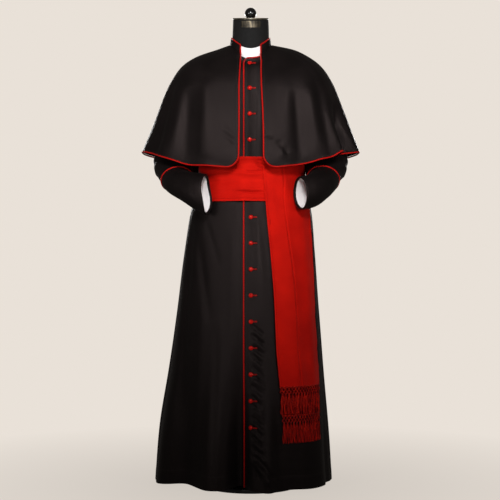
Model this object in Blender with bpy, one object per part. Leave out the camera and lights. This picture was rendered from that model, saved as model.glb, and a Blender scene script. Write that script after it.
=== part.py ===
"""A man's black cassock with red piping, a shoulder cape and a fringed sash, worn by a limbless dress form.

Units are metres, +Z is up and the front faces -Y, so +X is the wearer's left.
The origin is the centre of the base's underside.
An angle round the figure starts at the front and turns towards +X.
Every cloth piece is a wall: the points of its outer face, and the same points moved in by its thickness.
"""

import math
from collections import namedtuple

import bmesh
import bpy
from mathutils import Vector

# Thicknesses and gaps
GAP = 0.0003
CLOTH = 0.0020
SILK = 0.0015
LINING = 0.0010
PIPING = 0.0025
CORD_SIDES = 5

# The front: where its edges lie across the figure, and the neck opening
LAP_EDGE = -0.020
UNDERLAP_EDGE = 0.022
PIPING_LINE = LAP_EDGE - PIPING - GAP
UNDERLAP_FROM = -0.050
UNDERLAP_FULL = -0.030
COLLAR_EDGE = 0.0350
TAB_TUCK = 0.004

# Buttons
BUTTON_LINE, UPPER_BUTTON_LINE = 0.001, -0.003
BUTTON_RADIUS = 0.0078
BUTTON_HEIGHT = 0.0056
BUTTON_LIFT = 0.0004
BUTTON_PITCH = 0.0855
UPPER_BUTTONS = 4
UPPER_BUTTON_TOP = 1.4215
LOWER_BUTTONS = 9
LOWER_BUTTON_TOP = 0.9080

# Sash
SASH_TOP = 1.108
SASH_BOTTOM = 0.960
FRONT_TAIL_LIFT, REAR_TAIL_LIFT, TAIL_DROP = 0.0125, 0.0098, -0.0042
FRONT_TAIL_END = 0.354
REAR_TAIL_END = 0.262
FRINGE_LENGTH = 0.092
FRINGE_HEAD = 0.004
STRANDS = 15

# Where a tail's two edges hang, as x on the front of the skirt
Tail = namedtuple("Tail", "z near far")

TAIL = (
    Tail(0.170, 0.1020, 0.2220),
    Tail(0.346, 0.0925, 0.2215),
    Tail(0.474, 0.0815, 0.2124),
    Tail(0.637, 0.0745, 0.2040),
    Tail(0.800, 0.0620, 0.1940),
    Tail(0.948, 0.0480, 0.1810),
    Tail(1.110, 0.0376, 0.1660),
)

# Dress form and stand
NECK_TOP, NECK_TILT = 1.5828, 0.158
CAP_HEIGHT = 0.005
CAP_RADIUS = 0.0615
KNOB_RADIUS = 0.0195
KNOB_FOOT = 0.012
FORM_BOTTOM_ROW = 4.0
POLE_RADIUS = 0.014
BASE_RADIUS = 0.160
BASE_HEIGHT = 0.014

# One section of a garment: heights at its front, side and back, its reach each way, and how square it is
Ring = namedtuple("Ring", "front_z side_z back_z left right front back square")

BODY = (
    Ring(0.022, 0.018, 0.018, 0.320, 0.271, 0.232, 0.262, 2.0),
    Ring(0.200, 0.200, 0.200, 0.303, 0.257, 0.217, 0.240, 2.0),
    Ring(0.400, 0.400, 0.400, 0.272, 0.242, 0.199, 0.214, 2.0),
    Ring(0.600, 0.600, 0.600, 0.245, 0.228, 0.180, 0.188, 2.1),
    Ring(0.800, 0.800, 0.800, 0.222, 0.217, 0.162, 0.164, 2.2),
    Ring(0.940, 0.940, 0.940, 0.200, 0.205, 0.145, 0.144, 2.2),
    Ring(1.030, 1.030, 1.030, 0.174, 0.177, 0.131, 0.121, 2.2),
    Ring(1.120, 1.120, 1.120, 0.170, 0.172, 0.127, 0.114, 2.2),
    Ring(1.220, 1.220, 1.220, 0.178, 0.179, 0.129, 0.119, 2.3),
    Ring(1.310, 1.310, 1.310, 0.183, 0.184, 0.126, 0.127, 2.4),
    Ring(1.375, 1.388, 1.388, 0.183, 0.184, 0.115, 0.121, 2.3),
    Ring(1.416, 1.438, 1.440, 0.168, 0.169, 0.100, 0.101, 2.2),
    Ring(1.434, 1.470, 1.480, 0.116, 0.120, 0.083, 0.078, 2.1),
    Ring(1.441, 1.488, 1.503, 0.0705, 0.0705, 0.0680, 0.0630, 2.0),
)
NECK_ROW = 13.0
ARMHOLE_ROW, ARMHOLE_RISE, ARMHOLE_ANGLE = 10.0, 1.1, 30.0
ARMHOLE_STEP = 20
ARMHOLE_STAND = 0.009
WAIST_SEAM_ROW, WAIST_SEAM_GAP = 6.2, 0.0036

CAPE = (
    Ring(1.071, 1.137, 1.050, 0.366, 0.369, 0.190, 0.204, 2.0),
    Ring(1.135, 1.206, 1.125, 0.338, 0.341, 0.184, 0.190, 2.1),
    Ring(1.205, 1.285, 1.208, 0.308, 0.311, 0.174, 0.175, 2.2),
    Ring(1.275, 1.365, 1.295, 0.273, 0.279, 0.161, 0.158, 2.3),
    Ring(1.340, 1.420, 1.375, 0.235, 0.243, 0.144, 0.138, 2.3),
    Ring(1.396, 1.456, 1.440, 0.182, 0.196, 0.119, 0.113, 2.2),
    Ring(1.430, 1.480, 1.482, 0.114, 0.146, 0.094, 0.087, 2.1),
    Ring(1.4480, 1.4955, 1.5100, 0.0730, 0.0730, 0.0710, 0.0660, 2.0),
)
# How far each half's front edge lies from the middle at the rows of CAPE
LEFT_CAPE_EDGE = (0.0455, 0.0452, 0.0445, 0.0420, 0.0385, 0.0375, 0.0385, 0.0360)
RIGHT_CAPE_EDGE = (0.0425, 0.0420, 0.0410, 0.0410, 0.0412, 0.0385, 0.0365, 0.0360)
CAPE_CORNER = 0.040

COLLAR = (
    Ring(1.4415, 1.4885, 1.5035, 0.0705, 0.0705, 0.0680, 0.0630, 2.0),
    Ring(1.4600, 1.5030, 1.5185, 0.0690, 0.0690, 0.0670, 0.0625, 2.0),
    Ring(1.4765, 1.5155, 1.5310, 0.0672, 0.0672, 0.0655, 0.0618, 2.0),
)

NECK_BLOCK = (
    Ring(1.424, 1.468, 1.480, 0.0640, 0.0640, 0.0585, 0.0580, 2.0),
    Ring(1.462, 1.500, 1.514, 0.0634, 0.0636, 0.0560, 0.0575, 2.0),
    Ring(1.500, 1.522, 1.530, 0.0618, 0.0628, 0.0560, 0.0575, 2.0),
    Ring(1.545, 1.552, 1.556, 0.0605, 0.0622, 0.0560, 0.0570, 2.0),
    Ring(NECK_TOP, NECK_TOP, NECK_TOP, 0.0595, 0.0605, 0.0560, 0.0570, 2.0),
)

# A fold of the skirt or cape: its place and half width in degrees, how far it stands out at the hem,
# the row where it starts, and how far it lifts the hem
Fold = namedtuple("Fold", "angle width depth start rise", defaults=(0.0,))

SKIRT_FOLDS = (
    Fold(-23, 8, 0.022, 3.6),
    Fold(-7.5, 5.5, -0.056, 2.9, 0.008),
    Fold(11, 7, 0.032, 2.6, -0.003),
    Fold(-48, 15, -0.030, 3.0, 0.009),
    Fold(-72, 9, 0.006, 2.0),
    Fold(33, 8, -0.006, 1.5),
    Fold(48, 14, 0.002, 1.5, -0.003),
    Fold(77, 8, -0.012, 2.2),
    Fold(104, 10, 0.012, 4.6),
    Fold(122, 10, -0.028, 4.8),
    Fold(143, 11, 0.024, 4.8),
    Fold(165, 10, -0.030, 4.8),
    Fold(-108, 11, 0.014, 4.6),
    Fold(-128, 10, -0.026, 4.8),
    Fold(-149, 11, 0.022, 4.8),
    Fold(-171, 10, -0.024, 4.6),
)

CAPE_FOLDS = (
    Fold(-22, 8, 0.006, 4.5),
    Fold(-35, 9, -0.009, 4.6, -0.008),
    Fold(-50, 8, 0.007, 4.2),
    Fold(-66, 10, -0.009, 3.6),
    Fold(16, 7, 0.007, 4.2),
    Fold(27, 7, -0.009, 4.4),
    Fold(40, 7, 0.006, 4.6, 0.006),
    Fold(53, 5.5, 0.017, 3.0, 0.018),
    Fold(63, 6, -0.050, 2.6),
    Fold(76, 7, 0.006, 2.4),
    Fold(106, 10, 0.010, 4.4),
    Fold(126, 10, -0.020, 4.6),
    Fold(147, 11, 0.016, 4.4),
    Fold(169, 9, -0.014, 4.8),
    Fold(-104, 10, 0.011, 4.2),
    Fold(-124, 10, -0.019, 4.6),
    Fold(-146, 11, 0.017, 4.4),
    Fold(-167, 9, -0.012, 4.8),
)
HEM_ROWS = 1.6

# One section of a sleeve, its x outwards from the middle: centre, half height and half depth
Arm = namedtuple("Arm", "x y z tall deep")

RIGHT_SLEEVE = (
    Arm(0.218, 0.006, 1.342, 0.053, 0.058),
    Arm(0.237, 0.010, 1.280, 0.049, 0.058),
    Arm(0.253, 0.013, 1.215, 0.054, 0.058),
    Arm(0.266, 0.014, 1.155, 0.056, 0.058),
    Arm(0.268, 0.000, 1.096, 0.058, 0.061),
    Arm(0.254, -0.042, 1.053, 0.049, 0.055),
    Arm(0.238, -0.088, 1.025, 0.043, 0.049),
    Arm(0.206, -0.126, 1.008, 0.0475, 0.044),
    Arm(0.178, -0.148, 0.994, 0.0535, 0.040),
    Arm(0.147, -0.162, 0.982, 0.0600, 0.037),
)
LEFT_SLEEVE = (
    Arm(0.219, 0.006, 1.342, 0.053, 0.058),
    Arm(0.238, 0.010, 1.280, 0.049, 0.058),
    Arm(0.256, 0.013, 1.215, 0.054, 0.058),
    Arm(0.272, 0.014, 1.155, 0.056, 0.058),
    Arm(0.269, 0.000, 1.096, 0.058, 0.061),
    Arm(0.249, -0.046, 1.053, 0.049, 0.056),
    Arm(0.237, -0.094, 1.025, 0.045, 0.049),
    Arm(0.214, -0.132, 1.004, 0.048, 0.044),
    Arm(0.192, -0.154, 0.992, 0.051, 0.042),
    Arm(0.165, -0.170, 0.986, 0.0515, 0.041),
)
ELBOW_ROW, CUFF_FROM, LINING_FROM = 4.1, 5.4, 6.2
SLEEVE_SIDES = 360 // ARMHOLE_STEP


# Materials


def cloth_material(name, colour, roughness, metallic=0.0):
    """A Principled material of one linear colour."""
    material = bpy.data.materials.new(name)
    material.use_nodes = True
    shader = material.node_tree.nodes["Principled BSDF"]
    shader.inputs["Base Color"].default_value = (*colour, 1.0)
    shader.inputs["Roughness"].default_value = roughness
    shader.inputs["Metallic"].default_value = metallic
    material.diffuse_color = (*colour, 1.0)
    return material


# Curves through the rows of a table


def ease(share):
    """0 below 0, 1 above 1, and smooth between."""
    share = min(max(share, 0.0), 1.0)
    return share * share * (3.0 - 2.0 * share)


def slope(before, here, after):
    """The slope of a curve at a row, which never swings past its neighbours."""
    rise, run = here - before, after - here
    return 0.0 if rise * run <= 0.0 else 2.0 * rise * run / (rise + run)


def between(table, row):
    """The section at any row position, each column on a smooth curve through the table."""
    last = len(table) - 1
    low = min(max(int(row), 0), last - 1)
    t = row - low
    rows = [table[min(max(low + step, 0), last)] for step in (-1, 0, 1, 2)]
    columns = []
    for before, here, after, beyond in zip(*rows):
        start = slope(before, here, after) if low > 0 else after - here
        end = slope(here, after, beyond) if low + 1 < last else after - here
        columns.append(
            (2 * t**3 - 3 * t**2 + 1) * here
            + (t**3 - 2 * t**2 + t) * start
            + (3 * t**2 - 2 * t**3) * after
            + (t**3 - t**2) * end
        )
    return type(table[0])(*columns)


def on_ring(ring, angle):
    """The point of a section at an angle in degrees."""
    across, ahead = math.sin(math.radians(angle)), math.cos(math.radians(angle))
    square = ring.square
    reach = (abs(across) ** square + abs(ahead) ** square) ** (-1.0 / square)
    width = ring.right if across > 0 else ring.left
    depth = ring.front if ahead > 0 else ring.back
    end_z = ring.front_z if ahead > 0 else ring.back_z
    return Vector(
        (
            width * across * reach,
            -depth * ahead * reach,
            ring.side_z + (end_z - ring.side_z) * ahead * ahead,
        )
    )


def fold_push(folds, angle, row):
    """How far the folds push the cloth out, and up at the hem, at an angle and row."""
    push, lift = 0.0, 0.0
    for fold in folds:
        turn = (angle - fold.angle + 180.0) % 360.0 - 180.0
        share = math.exp(-((turn / fold.width) ** 2))
        push += fold.depth * share * ease((fold.start - row) / fold.start)
        lift += fold.rise * share * ease(1.0 - row / HEM_ROWS)
    return push, lift


def folded(table, folds, angle, row):
    """A point of a folded garment: the section's point, pushed straight out from the figure's middle line."""
    ring = between(table, row)
    point = on_ring(ring, angle)
    away = Vector((point.x / ring.right**2, point.y / ring.front**2, 0.0)).normalized()
    push, lift = fold_push(folds, angle, row)
    return point + away * push + Vector((0.0, 0.0, lift))


def body_point(angle, row):
    return folded(BODY, SKIRT_FOLDS, angle, row)


def cape_point(angle, row):
    return folded(CAPE, CAPE_FOLDS, angle, row)


def facing(surface, u, v, du=0.4, dv=0.02):
    """The outward normal of a surface whose u turns towards +X and whose v climbs."""
    along = surface(u + du, v) - surface(u - du, v)
    up = surface(u, v + dv) - surface(u, v - dv)
    return along.cross(up).normalized()


def angle_at(table, row, x):
    """The angle at which a section crosses the plane at x, on its front."""
    ring = between(table, row)
    width = ring.right if x > 0 else ring.left
    return math.degrees(math.asin(max(-1.0, min(1.0, x / width))))


def row_at(table, z, column="front_z"):
    """The row position at a height."""
    low, high = 0.0, len(table) - 1.0
    for _ in range(30):
        middle = (low + high) / 2
        if getattr(between(table, middle), column) < z:
            low = middle
        else:
            high = middle
    return (low + high) / 2


# Meshes


def finish_mesh(name, mesh, material):
    """Makes a node of a bmesh."""
    bmesh.ops.recalc_face_normals(mesh, faces=mesh.faces)
    data = bpy.data.meshes.new(name)
    mesh.to_mesh(data)
    mesh.free()
    data.materials.append(material)
    data.shade_smooth()
    data.set_sharp_from_angle(angle=math.radians(50))
    node = bpy.data.objects.new(name, data)
    bpy.context.scene.collection.objects.link(node)
    return node


def two_triangles(mesh, a, b, c, d):
    mesh.faces.new((a, b, c))
    mesh.faces.new((a, c, d))


def wall(name, outer, inner, material, round_about=False):
    """A closed wall between two grids of points. A tube's grid goes round about."""
    mesh = bmesh.new()
    skins = [[[mesh.verts.new(p) for p in row] for row in grid] for grid in (outer, inner)]
    rows, columns = len(outer), len(outer[0])
    steps = range(columns if round_about else columns - 1)
    for skin in skins:
        for i in range(rows - 1):
            for j in steps:
                k = (j + 1) % columns
                two_triangles(mesh, skin[i][j], skin[i][k], skin[i + 1][k], skin[i + 1][j])
    out, back = skins
    for i in (0, rows - 1):
        for j in steps:
            k = (j + 1) % columns
            two_triangles(mesh, out[i][j], out[i][k], back[i][k], back[i][j])
    if not round_about:
        for j in (0, columns - 1):
            for i in range(rows - 1):
                two_triangles(mesh, out[i][j], out[i + 1][j], back[i + 1][j], back[i][j])
    return finish_mesh(name, mesh, material)


def surface_grids(surface, rows, angles_of, thick, lift=0.0):
    """The outer and inner points of a wall on a surface, lifted off it."""
    outer, inner = [], []
    for row in rows:
        spots = [(surface(a, row), facing(surface, a, row)) for a in angles_of(row)]
        outer.append([point + normal * lift for point, normal in spots])
        inner.append([point + normal * (lift - thick) for point, normal in spots])
    return outer, inner


def cord(name, points, radius, material, closed=False):
    """A round cord through points, its section carried along without twisting."""
    count = len(points)
    mesh = bmesh.new()
    side = Vector((0.3, 0.5, 0.8))
    rings = []
    for i, point in enumerate(points):
        before = points[i - 1] if closed or i else point
        after = points[(i + 1) % count] if closed or i + 1 < count else point
        along = (after - before).normalized()
        side = (side - along * side.dot(along)).normalized()
        across = along.cross(side)
        turns = [math.tau * k / CORD_SIDES for k in range(CORD_SIDES)]
        spokes = [side * math.cos(t) + across * math.sin(t) for t in turns]
        rings.append([mesh.verts.new(point + spoke * radius) for spoke in spokes])
    for i in range(count if closed else count - 1):
        ring, following = rings[i], rings[(i + 1) % count]
        shift = 0
        if i + 1 == count:
            shift = min(range(CORD_SIDES), key=lambda n: (following[n].co - ring[0].co).length)
        for j in range(CORD_SIDES):
            k = (j + 1) % CORD_SIDES
            far_j, far_k = following[(j + shift) % CORD_SIDES], following[(k + shift) % CORD_SIDES]
            two_triangles(mesh, ring[j], ring[k], far_k, far_j)
    if not closed:
        for ring in (rings[0], rings[-1]):
            for j in range(1, CORD_SIDES - 1):
                mesh.faces.new((ring[0], ring[j], ring[j + 1]))
    return finish_mesh(name, mesh, material)


def turned(name, profile, steps, material, place=(0.0, 0.0, 0.0), axis=(0.0, 0.0, 1.0)):
    """A solid of revolution from (radius, height) pairs that start and end on the axis."""
    mesh = bmesh.new()
    verts = [mesh.verts.new((radius, 0.0, height)) for radius, height in profile]
    edges = [mesh.edges.new(pair) for pair in zip(verts, verts[1:])]
    bmesh.ops.spin(
        mesh,
        geom=verts + edges,
        cent=(0, 0, 0),
        axis=(0, 0, 1),
        angle=math.tau,
        steps=steps,
        use_merge=True,
    )
    bmesh.ops.remove_doubles(mesh, verts=mesh.verts, dist=0.00001)
    node = finish_mesh(name, mesh, material)
    node.location = place
    node.rotation_mode = "QUATERNION"
    node.rotation_quaternion = Vector(axis).to_track_quat("Z", "Y")
    return node


# The cassock's body


def armhole_rows():
    """The rows from the armpit to the shoulder at which the armhole's outline is cut."""
    turns = range(-90, 91, ARMHOLE_STEP)
    return [ARMHOLE_ROW + ARMHOLE_RISE * math.sin(math.radians(t)) for t in turns]


def armhole_half_angle(row):
    """Half the armhole's width in degrees at a row."""
    share = (row - ARMHOLE_ROW) / ARMHOLE_RISE
    return 0.0 if abs(share) >= 1.0 else ARMHOLE_ANGLE * math.sqrt(1.0 - share * share)


SKIRT_ROWS = [0.0, 0.4, 0.8, 1.3, 1.8, 2.4, 3.0, 3.6, 4.2, 4.8, 5.5, 6.2, 7.0, 8.0]
SHOULDER_ROWS = [11.6, 12.3, NECK_ROW]
BODY_ROWS = SKIRT_ROWS + armhole_rows() + SHOULDER_ROWS
LOWER_ROWS = [row for row in BODY_ROWS if row <= WAIST_SEAM_ROW]
UPPER_ROWS = [WAIST_SEAM_ROW + WAIST_SEAM_GAP] + [row for row in BODY_ROWS if row > WAIST_SEAM_ROW]
FRONT_SPREAD = (0.07, 0.15, 0.26, 0.39, 0.53, 0.68, 0.84, 1.0)


def seam_angle(table, row):
    """Half a seam's gap in degrees, the same few tenths of a millimetre on any section."""
    return math.degrees(GAP * 0.6 / between(table, row).back)


def spread_angles(first, last, count):
    return [first + (last - first) * step / count for step in range(1, count + 1)]


def left_front_angles(row):
    """Columns of the left front, from its edge to the left side seam."""
    near = [angle_at(BODY, row, x) for x in (LAP_EDGE, 0.0, UNDERLAP_EDGE)]
    side = 90.0 - max(armhole_half_angle(row), seam_angle(BODY, row))
    return near + [near[-1] + (side - near[-1]) * share for share in FRONT_SPREAD]


def right_front_angles(row):
    """Columns of the right front, from the right side seam to its edge under the lap."""
    near = [angle_at(BODY, row, x) for x in (UNDERLAP_EDGE, 0.0, LAP_EDGE, UNDERLAP_FULL, UNDERLAP_FROM)]
    side = -90.0 + max(armhole_half_angle(row), seam_angle(BODY, row))
    return list(reversed(near + spread_angles(near[-1], side, 7)))


def left_back_angles(row):
    first = 90.0 + max(armhole_half_angle(row), seam_angle(BODY, row))
    return [first, *spread_angles(first, 180.0 - seam_angle(BODY, row), 10)]


def right_back_angles(row):
    return [-angle for angle in reversed(left_back_angles(row))]


def right_front_point(angle, row):
    """The right front dips under the left front by one wall and a gap."""
    point = body_point(angle, row)
    dip = ease((point.x - UNDERLAP_FROM) / (UNDERLAP_FULL - UNDERLAP_FROM))
    inwards = facing(body_point, angle, row)
    return point - inwards * (CLOTH + GAP) * dip


def make_body(black):
    panels = (
        ("left_front", body_point, left_front_angles),
        ("right_front", right_front_point, right_front_angles),
        ("left_back", body_point, left_back_angles),
        ("right_back", body_point, right_back_angles),
    )
    for name, surface, angles_of in panels:
        wall(name, *surface_grids(surface, UPPER_ROWS, angles_of, CLOTH), black)
        wall(name + "_skirt", *surface_grids(surface, LOWER_ROWS, angles_of, CLOTH), black)


# Collar and tab


def collar_point(angle, row):
    return on_ring(between(COLLAR, row), angle)


def collar_angles(row):
    edge = angle_at(COLLAR, row, COLLAR_EDGE)
    tucked = angle_at(COLLAR, row, COLLAR_EDGE + TAB_TUCK)
    return [edge, tucked, *spread_angles(tucked, 360.0 - tucked, 19), 360.0 - edge]


def tab_angles(row):
    edge = angle_at(COLLAR, row, COLLAR_EDGE)
    tucked = angle_at(COLLAR, row, COLLAR_EDGE + TAB_TUCK)
    return [-tucked, -edge, *spread_angles(-edge, edge, 5), tucked]


def make_collar(black, white):
    rows = [0.0, 1.0, 2.0]
    wall("collar", *surface_grids(collar_point, rows, collar_angles, CLOTH), black)
    behind = -(CLOTH + GAP)
    wall("collar_tab", *surface_grids(collar_point, rows, tab_angles, LINING, behind), white)


# Shoulder cape

CAPE_ROWS = [0.0, 0.08, 0.22, 0.42, 0.65, 1.3, 2.0, 2.8, 3.7, 4.8, 6.0, 7.0]

LEFT_CAPE_SPREAD = (0.0, 0.05, 0.095, 0.14, 0.185, 0.215, 0.245, 0.275, 0.305, 0.335, 0.37)
LEFT_CAPE_SPREAD += (0.415, 0.475, 0.535, 0.595, 0.655, 0.715, 0.775, 0.83, 0.885, 0.945, 1.0)


def cape_edge(row, side):
    """How far a cape half's front edge lies from the middle at a row, with its rounded lower corner."""
    edges = LEFT_CAPE_EDGE if side > 0 else RIGHT_CAPE_EDGE
    low = min(int(row), len(edges) - 2)
    edge = edges[low] + (edges[low + 1] - edges[low]) * (row - low)
    height = between(CAPE, row).front_z - CAPE[0].front_z
    if height < CAPE_CORNER:
        level = 1.0 - height / CAPE_CORNER
        edge += CAPE_CORNER * (1.0 - math.sqrt(1.0 - level * level))
    return edge


def left_cape_angles(row):
    """Columns of the left half, closer together round its deep fold."""
    edge = angle_at(CAPE, row, cape_edge(row, 1))
    last = 180.0 - seam_angle(CAPE, row)
    return [edge + (last - edge) * share for share in LEFT_CAPE_SPREAD]


def right_cape_angles(row):
    edge = angle_at(CAPE, row, -cape_edge(row, -1))
    return list(reversed([edge, *spread_angles(edge, -180.0 + seam_angle(CAPE, row), 22)]))


def make_cape(black, red):
    halves = (("left_cape", left_cape_angles, 1), ("right_cape", right_cape_angles, -1))
    for name, angles_of, side in halves:
        outer, inner = surface_grids(cape_point, CAPE_ROWS, angles_of, CLOTH)
        wall(name, outer, inner, black)
        front = 0 if side > 0 else -1
        edge = [(row[front], back[front]) for row, back in zip(outer, inner)]
        hem = list(zip(outer[0], inner[0]))[:: side]
        edge = list(reversed(edge)) + hem[1:]
        cord(name + "_piping", beside(edge, PIPING + GAP * 2, side), PIPING, red)


def beside(edge, distance, side):
    """Points beside a wall's edge, moved off it in the wall's own plane."""
    middles = [(out + back) / 2 for out, back in edge]
    path = []
    for i, (out, back) in enumerate(edge):
        ahead = middles[min(i + 1, len(edge) - 1)] - middles[max(i - 1, 0)]
        off = ahead.cross(out - back).normalized() * side
        path.append(middles[i] + off * distance)
    return path


# Sleeves, cuffs and their white lining


def armhole_loop(side):
    """The armhole's outline on the body, from the armpit round the back and over the shoulder."""
    loop = []
    for step in range(SLEEVE_SIDES):
        turn = math.radians(-90 + ARMHOLE_STEP * step)
        row = ARMHOLE_ROW + ARMHOLE_RISE * math.sin(turn)
        angle = side * (90.0 + ARMHOLE_ANGLE * math.cos(turn))
        loop.append(body_point(angle, row) + Vector((side * GAP, 0.0, 0.0)))
    return loop


def sleeve_rings(table, side, rows):
    """Rings of (outer point, outward direction) along a sleeve, kept from twisting from one to the next."""
    loop = armhole_loop(side)
    middle = sum(loop, Vector()) / len(loop)
    centres = [Vector((side * arm.x, arm.y, arm.z)) for arm in (between(table, r) for r in rows)]
    spokes = [(point - middle).normalized() for point in loop]
    rings = []
    for i, centre in enumerate(centres):
        before = centres[i - 1] if i else middle
        after = centres[i + 1] if 0 < i < len(centres) - 1 else centre
        along = (after - before).normalized()
        tall = (Vector((0, 0, 1)) - along * along.z).normalized()
        deep = along.cross(tall)
        arm = between(table, rows[i])
        spokes = [(spoke - along * spoke.dot(along)).normalized() for spoke in spokes]
        ring = []
        for spoke in spokes:
            reach = 1.0 / math.hypot(spoke.dot(tall) / arm.tall, spoke.dot(deep) / arm.deep)
            ring.append((centre + spoke * reach, spoke))
        rings.append(ring)
    return rings, loop, middle


def make_sleeve(name, table, side, black, white, red):
    last = len(table) - 1.0
    rows = [0.0, 1.2, 2.4, 3.4, 4.1, 4.8, 5.4, 6.2, 7.2, 8.2, last]
    rings, loop, middle = sleeve_rings(table, side, rows)
    outer = [[point for point, _ in ring] for ring in rings]
    inner = [[point - spoke * SILK for point, spoke in ring] for ring in rings]
    shrunk = [point + (middle - point).normalized() * GAP for point in loop]
    within = [point + (middle - point).normalized() * SILK for point in shrunk]
    stood_off = Vector((side * ARMHOLE_STAND, 0.0, 0.0))
    elbow = rows.index(ELBOW_ROW)
    down = (sum(outer[elbow + 1], Vector()) - sum(outer[elbow], Vector())).normalized()
    skins = []
    for skin in (outer, inner):
        skins.append([[point + down * GAP * 1.3 for point in skin[elbow]], *skin[elbow + 1 :]])
    wall(name + "_sleeve_lower", *skins, black, round_about=True)
    outer = [shrunk, [point + stood_off for point in shrunk], *outer[: elbow + 1]]
    inner = [within, [point + stood_off for point in within], *inner[: elbow + 1]]
    wall(name + "_sleeve", outer, inner, black, round_about=True)
    cuff = [ring for ring, row in zip(rings, rows) if row >= CUFF_FROM]
    over = [[point + spoke * (GAP + SILK) for point, spoke in ring] for ring in cuff]
    under = [[point + spoke * GAP for point, spoke in ring] for ring in cuff]
    wall(name + "_cuff", over, under, black, round_about=True)
    lining = [ring for ring, row in zip(rings, rows) if row >= LINING_FROM]
    face = [[point - spoke * (SILK + GAP) for point, spoke in ring] for ring in lining]
    skin = [[point - spoke * (SILK + GAP + LINING) for point, spoke in ring] for ring in lining]
    wall(name + "_cuff_lining", face, skin, white, round_about=True)
    edge, back = cuff[0], rings[rows.index(CUFF_FROM) - 1]
    path = []
    for (point, spoke), (behind, _) in zip(edge, back):
        up_sleeve = (behind - point).normalized()
        path.append(point + spoke * (PIPING + GAP * 2) + up_sleeve * (PIPING + GAP * 2))
    cord(name + "_cuff_piping", path, PIPING, red, closed=True)


# Piping and buttons down the front


def make_front_piping(red):
    above = PIPING + GAP * 2
    path = []
    for row in BODY_ROWS[:-1]:
        angle = angle_at(BODY, row, PIPING_LINE)
        normal = facing(right_front_point, angle, row)
        path.append(right_front_point(angle, row) + normal * above)
    cord("front_piping", path, PIPING, red)


def make_collar_piping(red):
    """Up one front edge of the collar, round its top and down the other edge."""
    clear = PIPING + GAP * 2
    outer, inner = surface_grids(collar_point, [1.0, 1.6, 2.0], collar_angles, CLOTH)
    top = [(a + b) / 2 + Vector((0, 0, clear)) for a, b in zip(outer[-1], inner[-1])]
    sides = []
    for end, step in ((0, -1), (-1, 1)):
        pairs = [(row[end], back[end]) for row, back in zip(outer[:-1], inner[:-1])]
        spots = [point + (point - within) * 0.75 for point, within in pairs]
        sides.append([spot + Vector((step * clear, 0, 0)) for spot in spots])
    start, finish = sides
    start[0].z += clear
    finish[0].z += clear
    turns = ((start[-1], top[0]), (finish[-1], top[-1]))
    corner = [Vector((end.x, end.y, top_end.z)) for end, top_end in turns]
    path = start + [corner[0]] + top[1:-1] + [corner[1]] + list(reversed(finish))
    cord("collar_piping", path, PIPING, red)


def button_profile():
    """A flat back and a low dome."""
    rim = BUTTON_HEIGHT * 0.3
    return (
        (0.0, 0.0),
        (BUTTON_RADIUS * 0.75, 0.0),
        (BUTTON_RADIUS, rim),
        (BUTTON_RADIUS * 0.78, BUTTON_HEIGHT * 0.76),
        (0.0, BUTTON_HEIGHT),
    )


def button_seat(z):
    """Where a button sits, on the straight line between the two rows of the front that it lies between."""
    line = UPPER_BUTTON_LINE if z > SASH_TOP else BUTTON_LINE
    row = row_at(BODY, z)
    low = max(r for r in BODY_ROWS if r <= row)
    high = min(r for r in BODY_ROWS if r > row)
    ends = [body_point(angle_at(BODY, r, line), r) for r in (low, high)]
    run = ends[1] - ends[0]
    tilt = facing(body_point, angle_at(BODY, row, line), row)
    normal = (tilt - run * (tilt.dot(run) / run.dot(run))).normalized()
    return ends[0] + run * ((z - ends[0].z) / run.z), normal


def make_buttons(red):
    upper = [UPPER_BUTTON_TOP - BUTTON_PITCH * i for i in range(UPPER_BUTTONS)]
    lower = [LOWER_BUTTON_TOP - BUTTON_PITCH * i for i in range(LOWER_BUTTONS)]
    for number, z in enumerate(upper + lower, start=1):
        seat, normal = button_seat(z)
        turned(f"button_{number:02d}", button_profile(), 8, red, seat + normal * BUTTON_LIFT, normal)


# Sash


def sash_lift(angle, row):
    """How far the band's outer face stands off the body: it rises over the piping, and its pleats roll."""
    x = body_point(angle, row).x
    over_piping = 0.0052 * math.exp(-(((x - PIPING_LINE) / 0.030) ** 2))
    height = (row - SASH_LOW_ROW) / (SASH_HIGH_ROW - SASH_LOW_ROW)
    pleats = 0.0011 * (1.0 + math.cos(math.tau * 3.0 * height))
    return 0.0034 + SILK + over_piping + pleats


SASH_LOW_ROW = row_at(BODY, SASH_BOTTOM)
SASH_HIGH_ROW = row_at(BODY, SASH_TOP)


def sash_point(angle, row):
    return body_point(angle, row) + facing(body_point, angle, row) * sash_lift(angle, row)


TAIL_HEIGHTS = (SASH_TOP, 1.07, 1.02, 0.98, 0.945, 0.86, 0.76, 0.66, 0.56, 0.46, 0.40, 0.31)


def tail_point(share, z, lift, slide=0.0):
    """A point of a tail at a share of its width, from the edge nearer the middle."""
    row = row_at(BODY, z)
    tail = between(TAIL, row_at(TAIL, z, "z"))
    near = angle_at(BODY, row, tail.near + slide)
    far = angle_at(BODY, row, tail.far + slide)
    angle = near + (far - near) * share
    stand_off = lift + TAIL_DROP * ease((0.945 - z) / 0.12)
    return body_point(angle, row) + facing(body_point, angle, row) * stand_off


def tail_spot(share, z, lift, slide):
    """A point of a tail and its outward direction."""
    point = tail_point(share, z, lift, slide)
    across = tail_point(share + 0.02, z, lift, slide) - tail_point(share - 0.02, z, lift, slide)
    up = tail_point(share, z + 0.004, lift, slide) - tail_point(share, z - 0.004, lift, slide)
    return point, across.cross(up).normalized()


def make_tail(name, end_z, lift, slide, red):
    columns = 7
    heights = [z for z in TAIL_HEIGHTS if z > end_z + 0.01] + [end_z]
    outer, inner = [], []
    for z in heights:
        spots = [tail_spot(j / columns, z, lift, slide) for j in range(columns + 1)]
        outer.append([point for point, _ in spots])
        inner.append([point - normal * SILK for point, normal in spots])
    wall(name, outer, inner, red)


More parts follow.
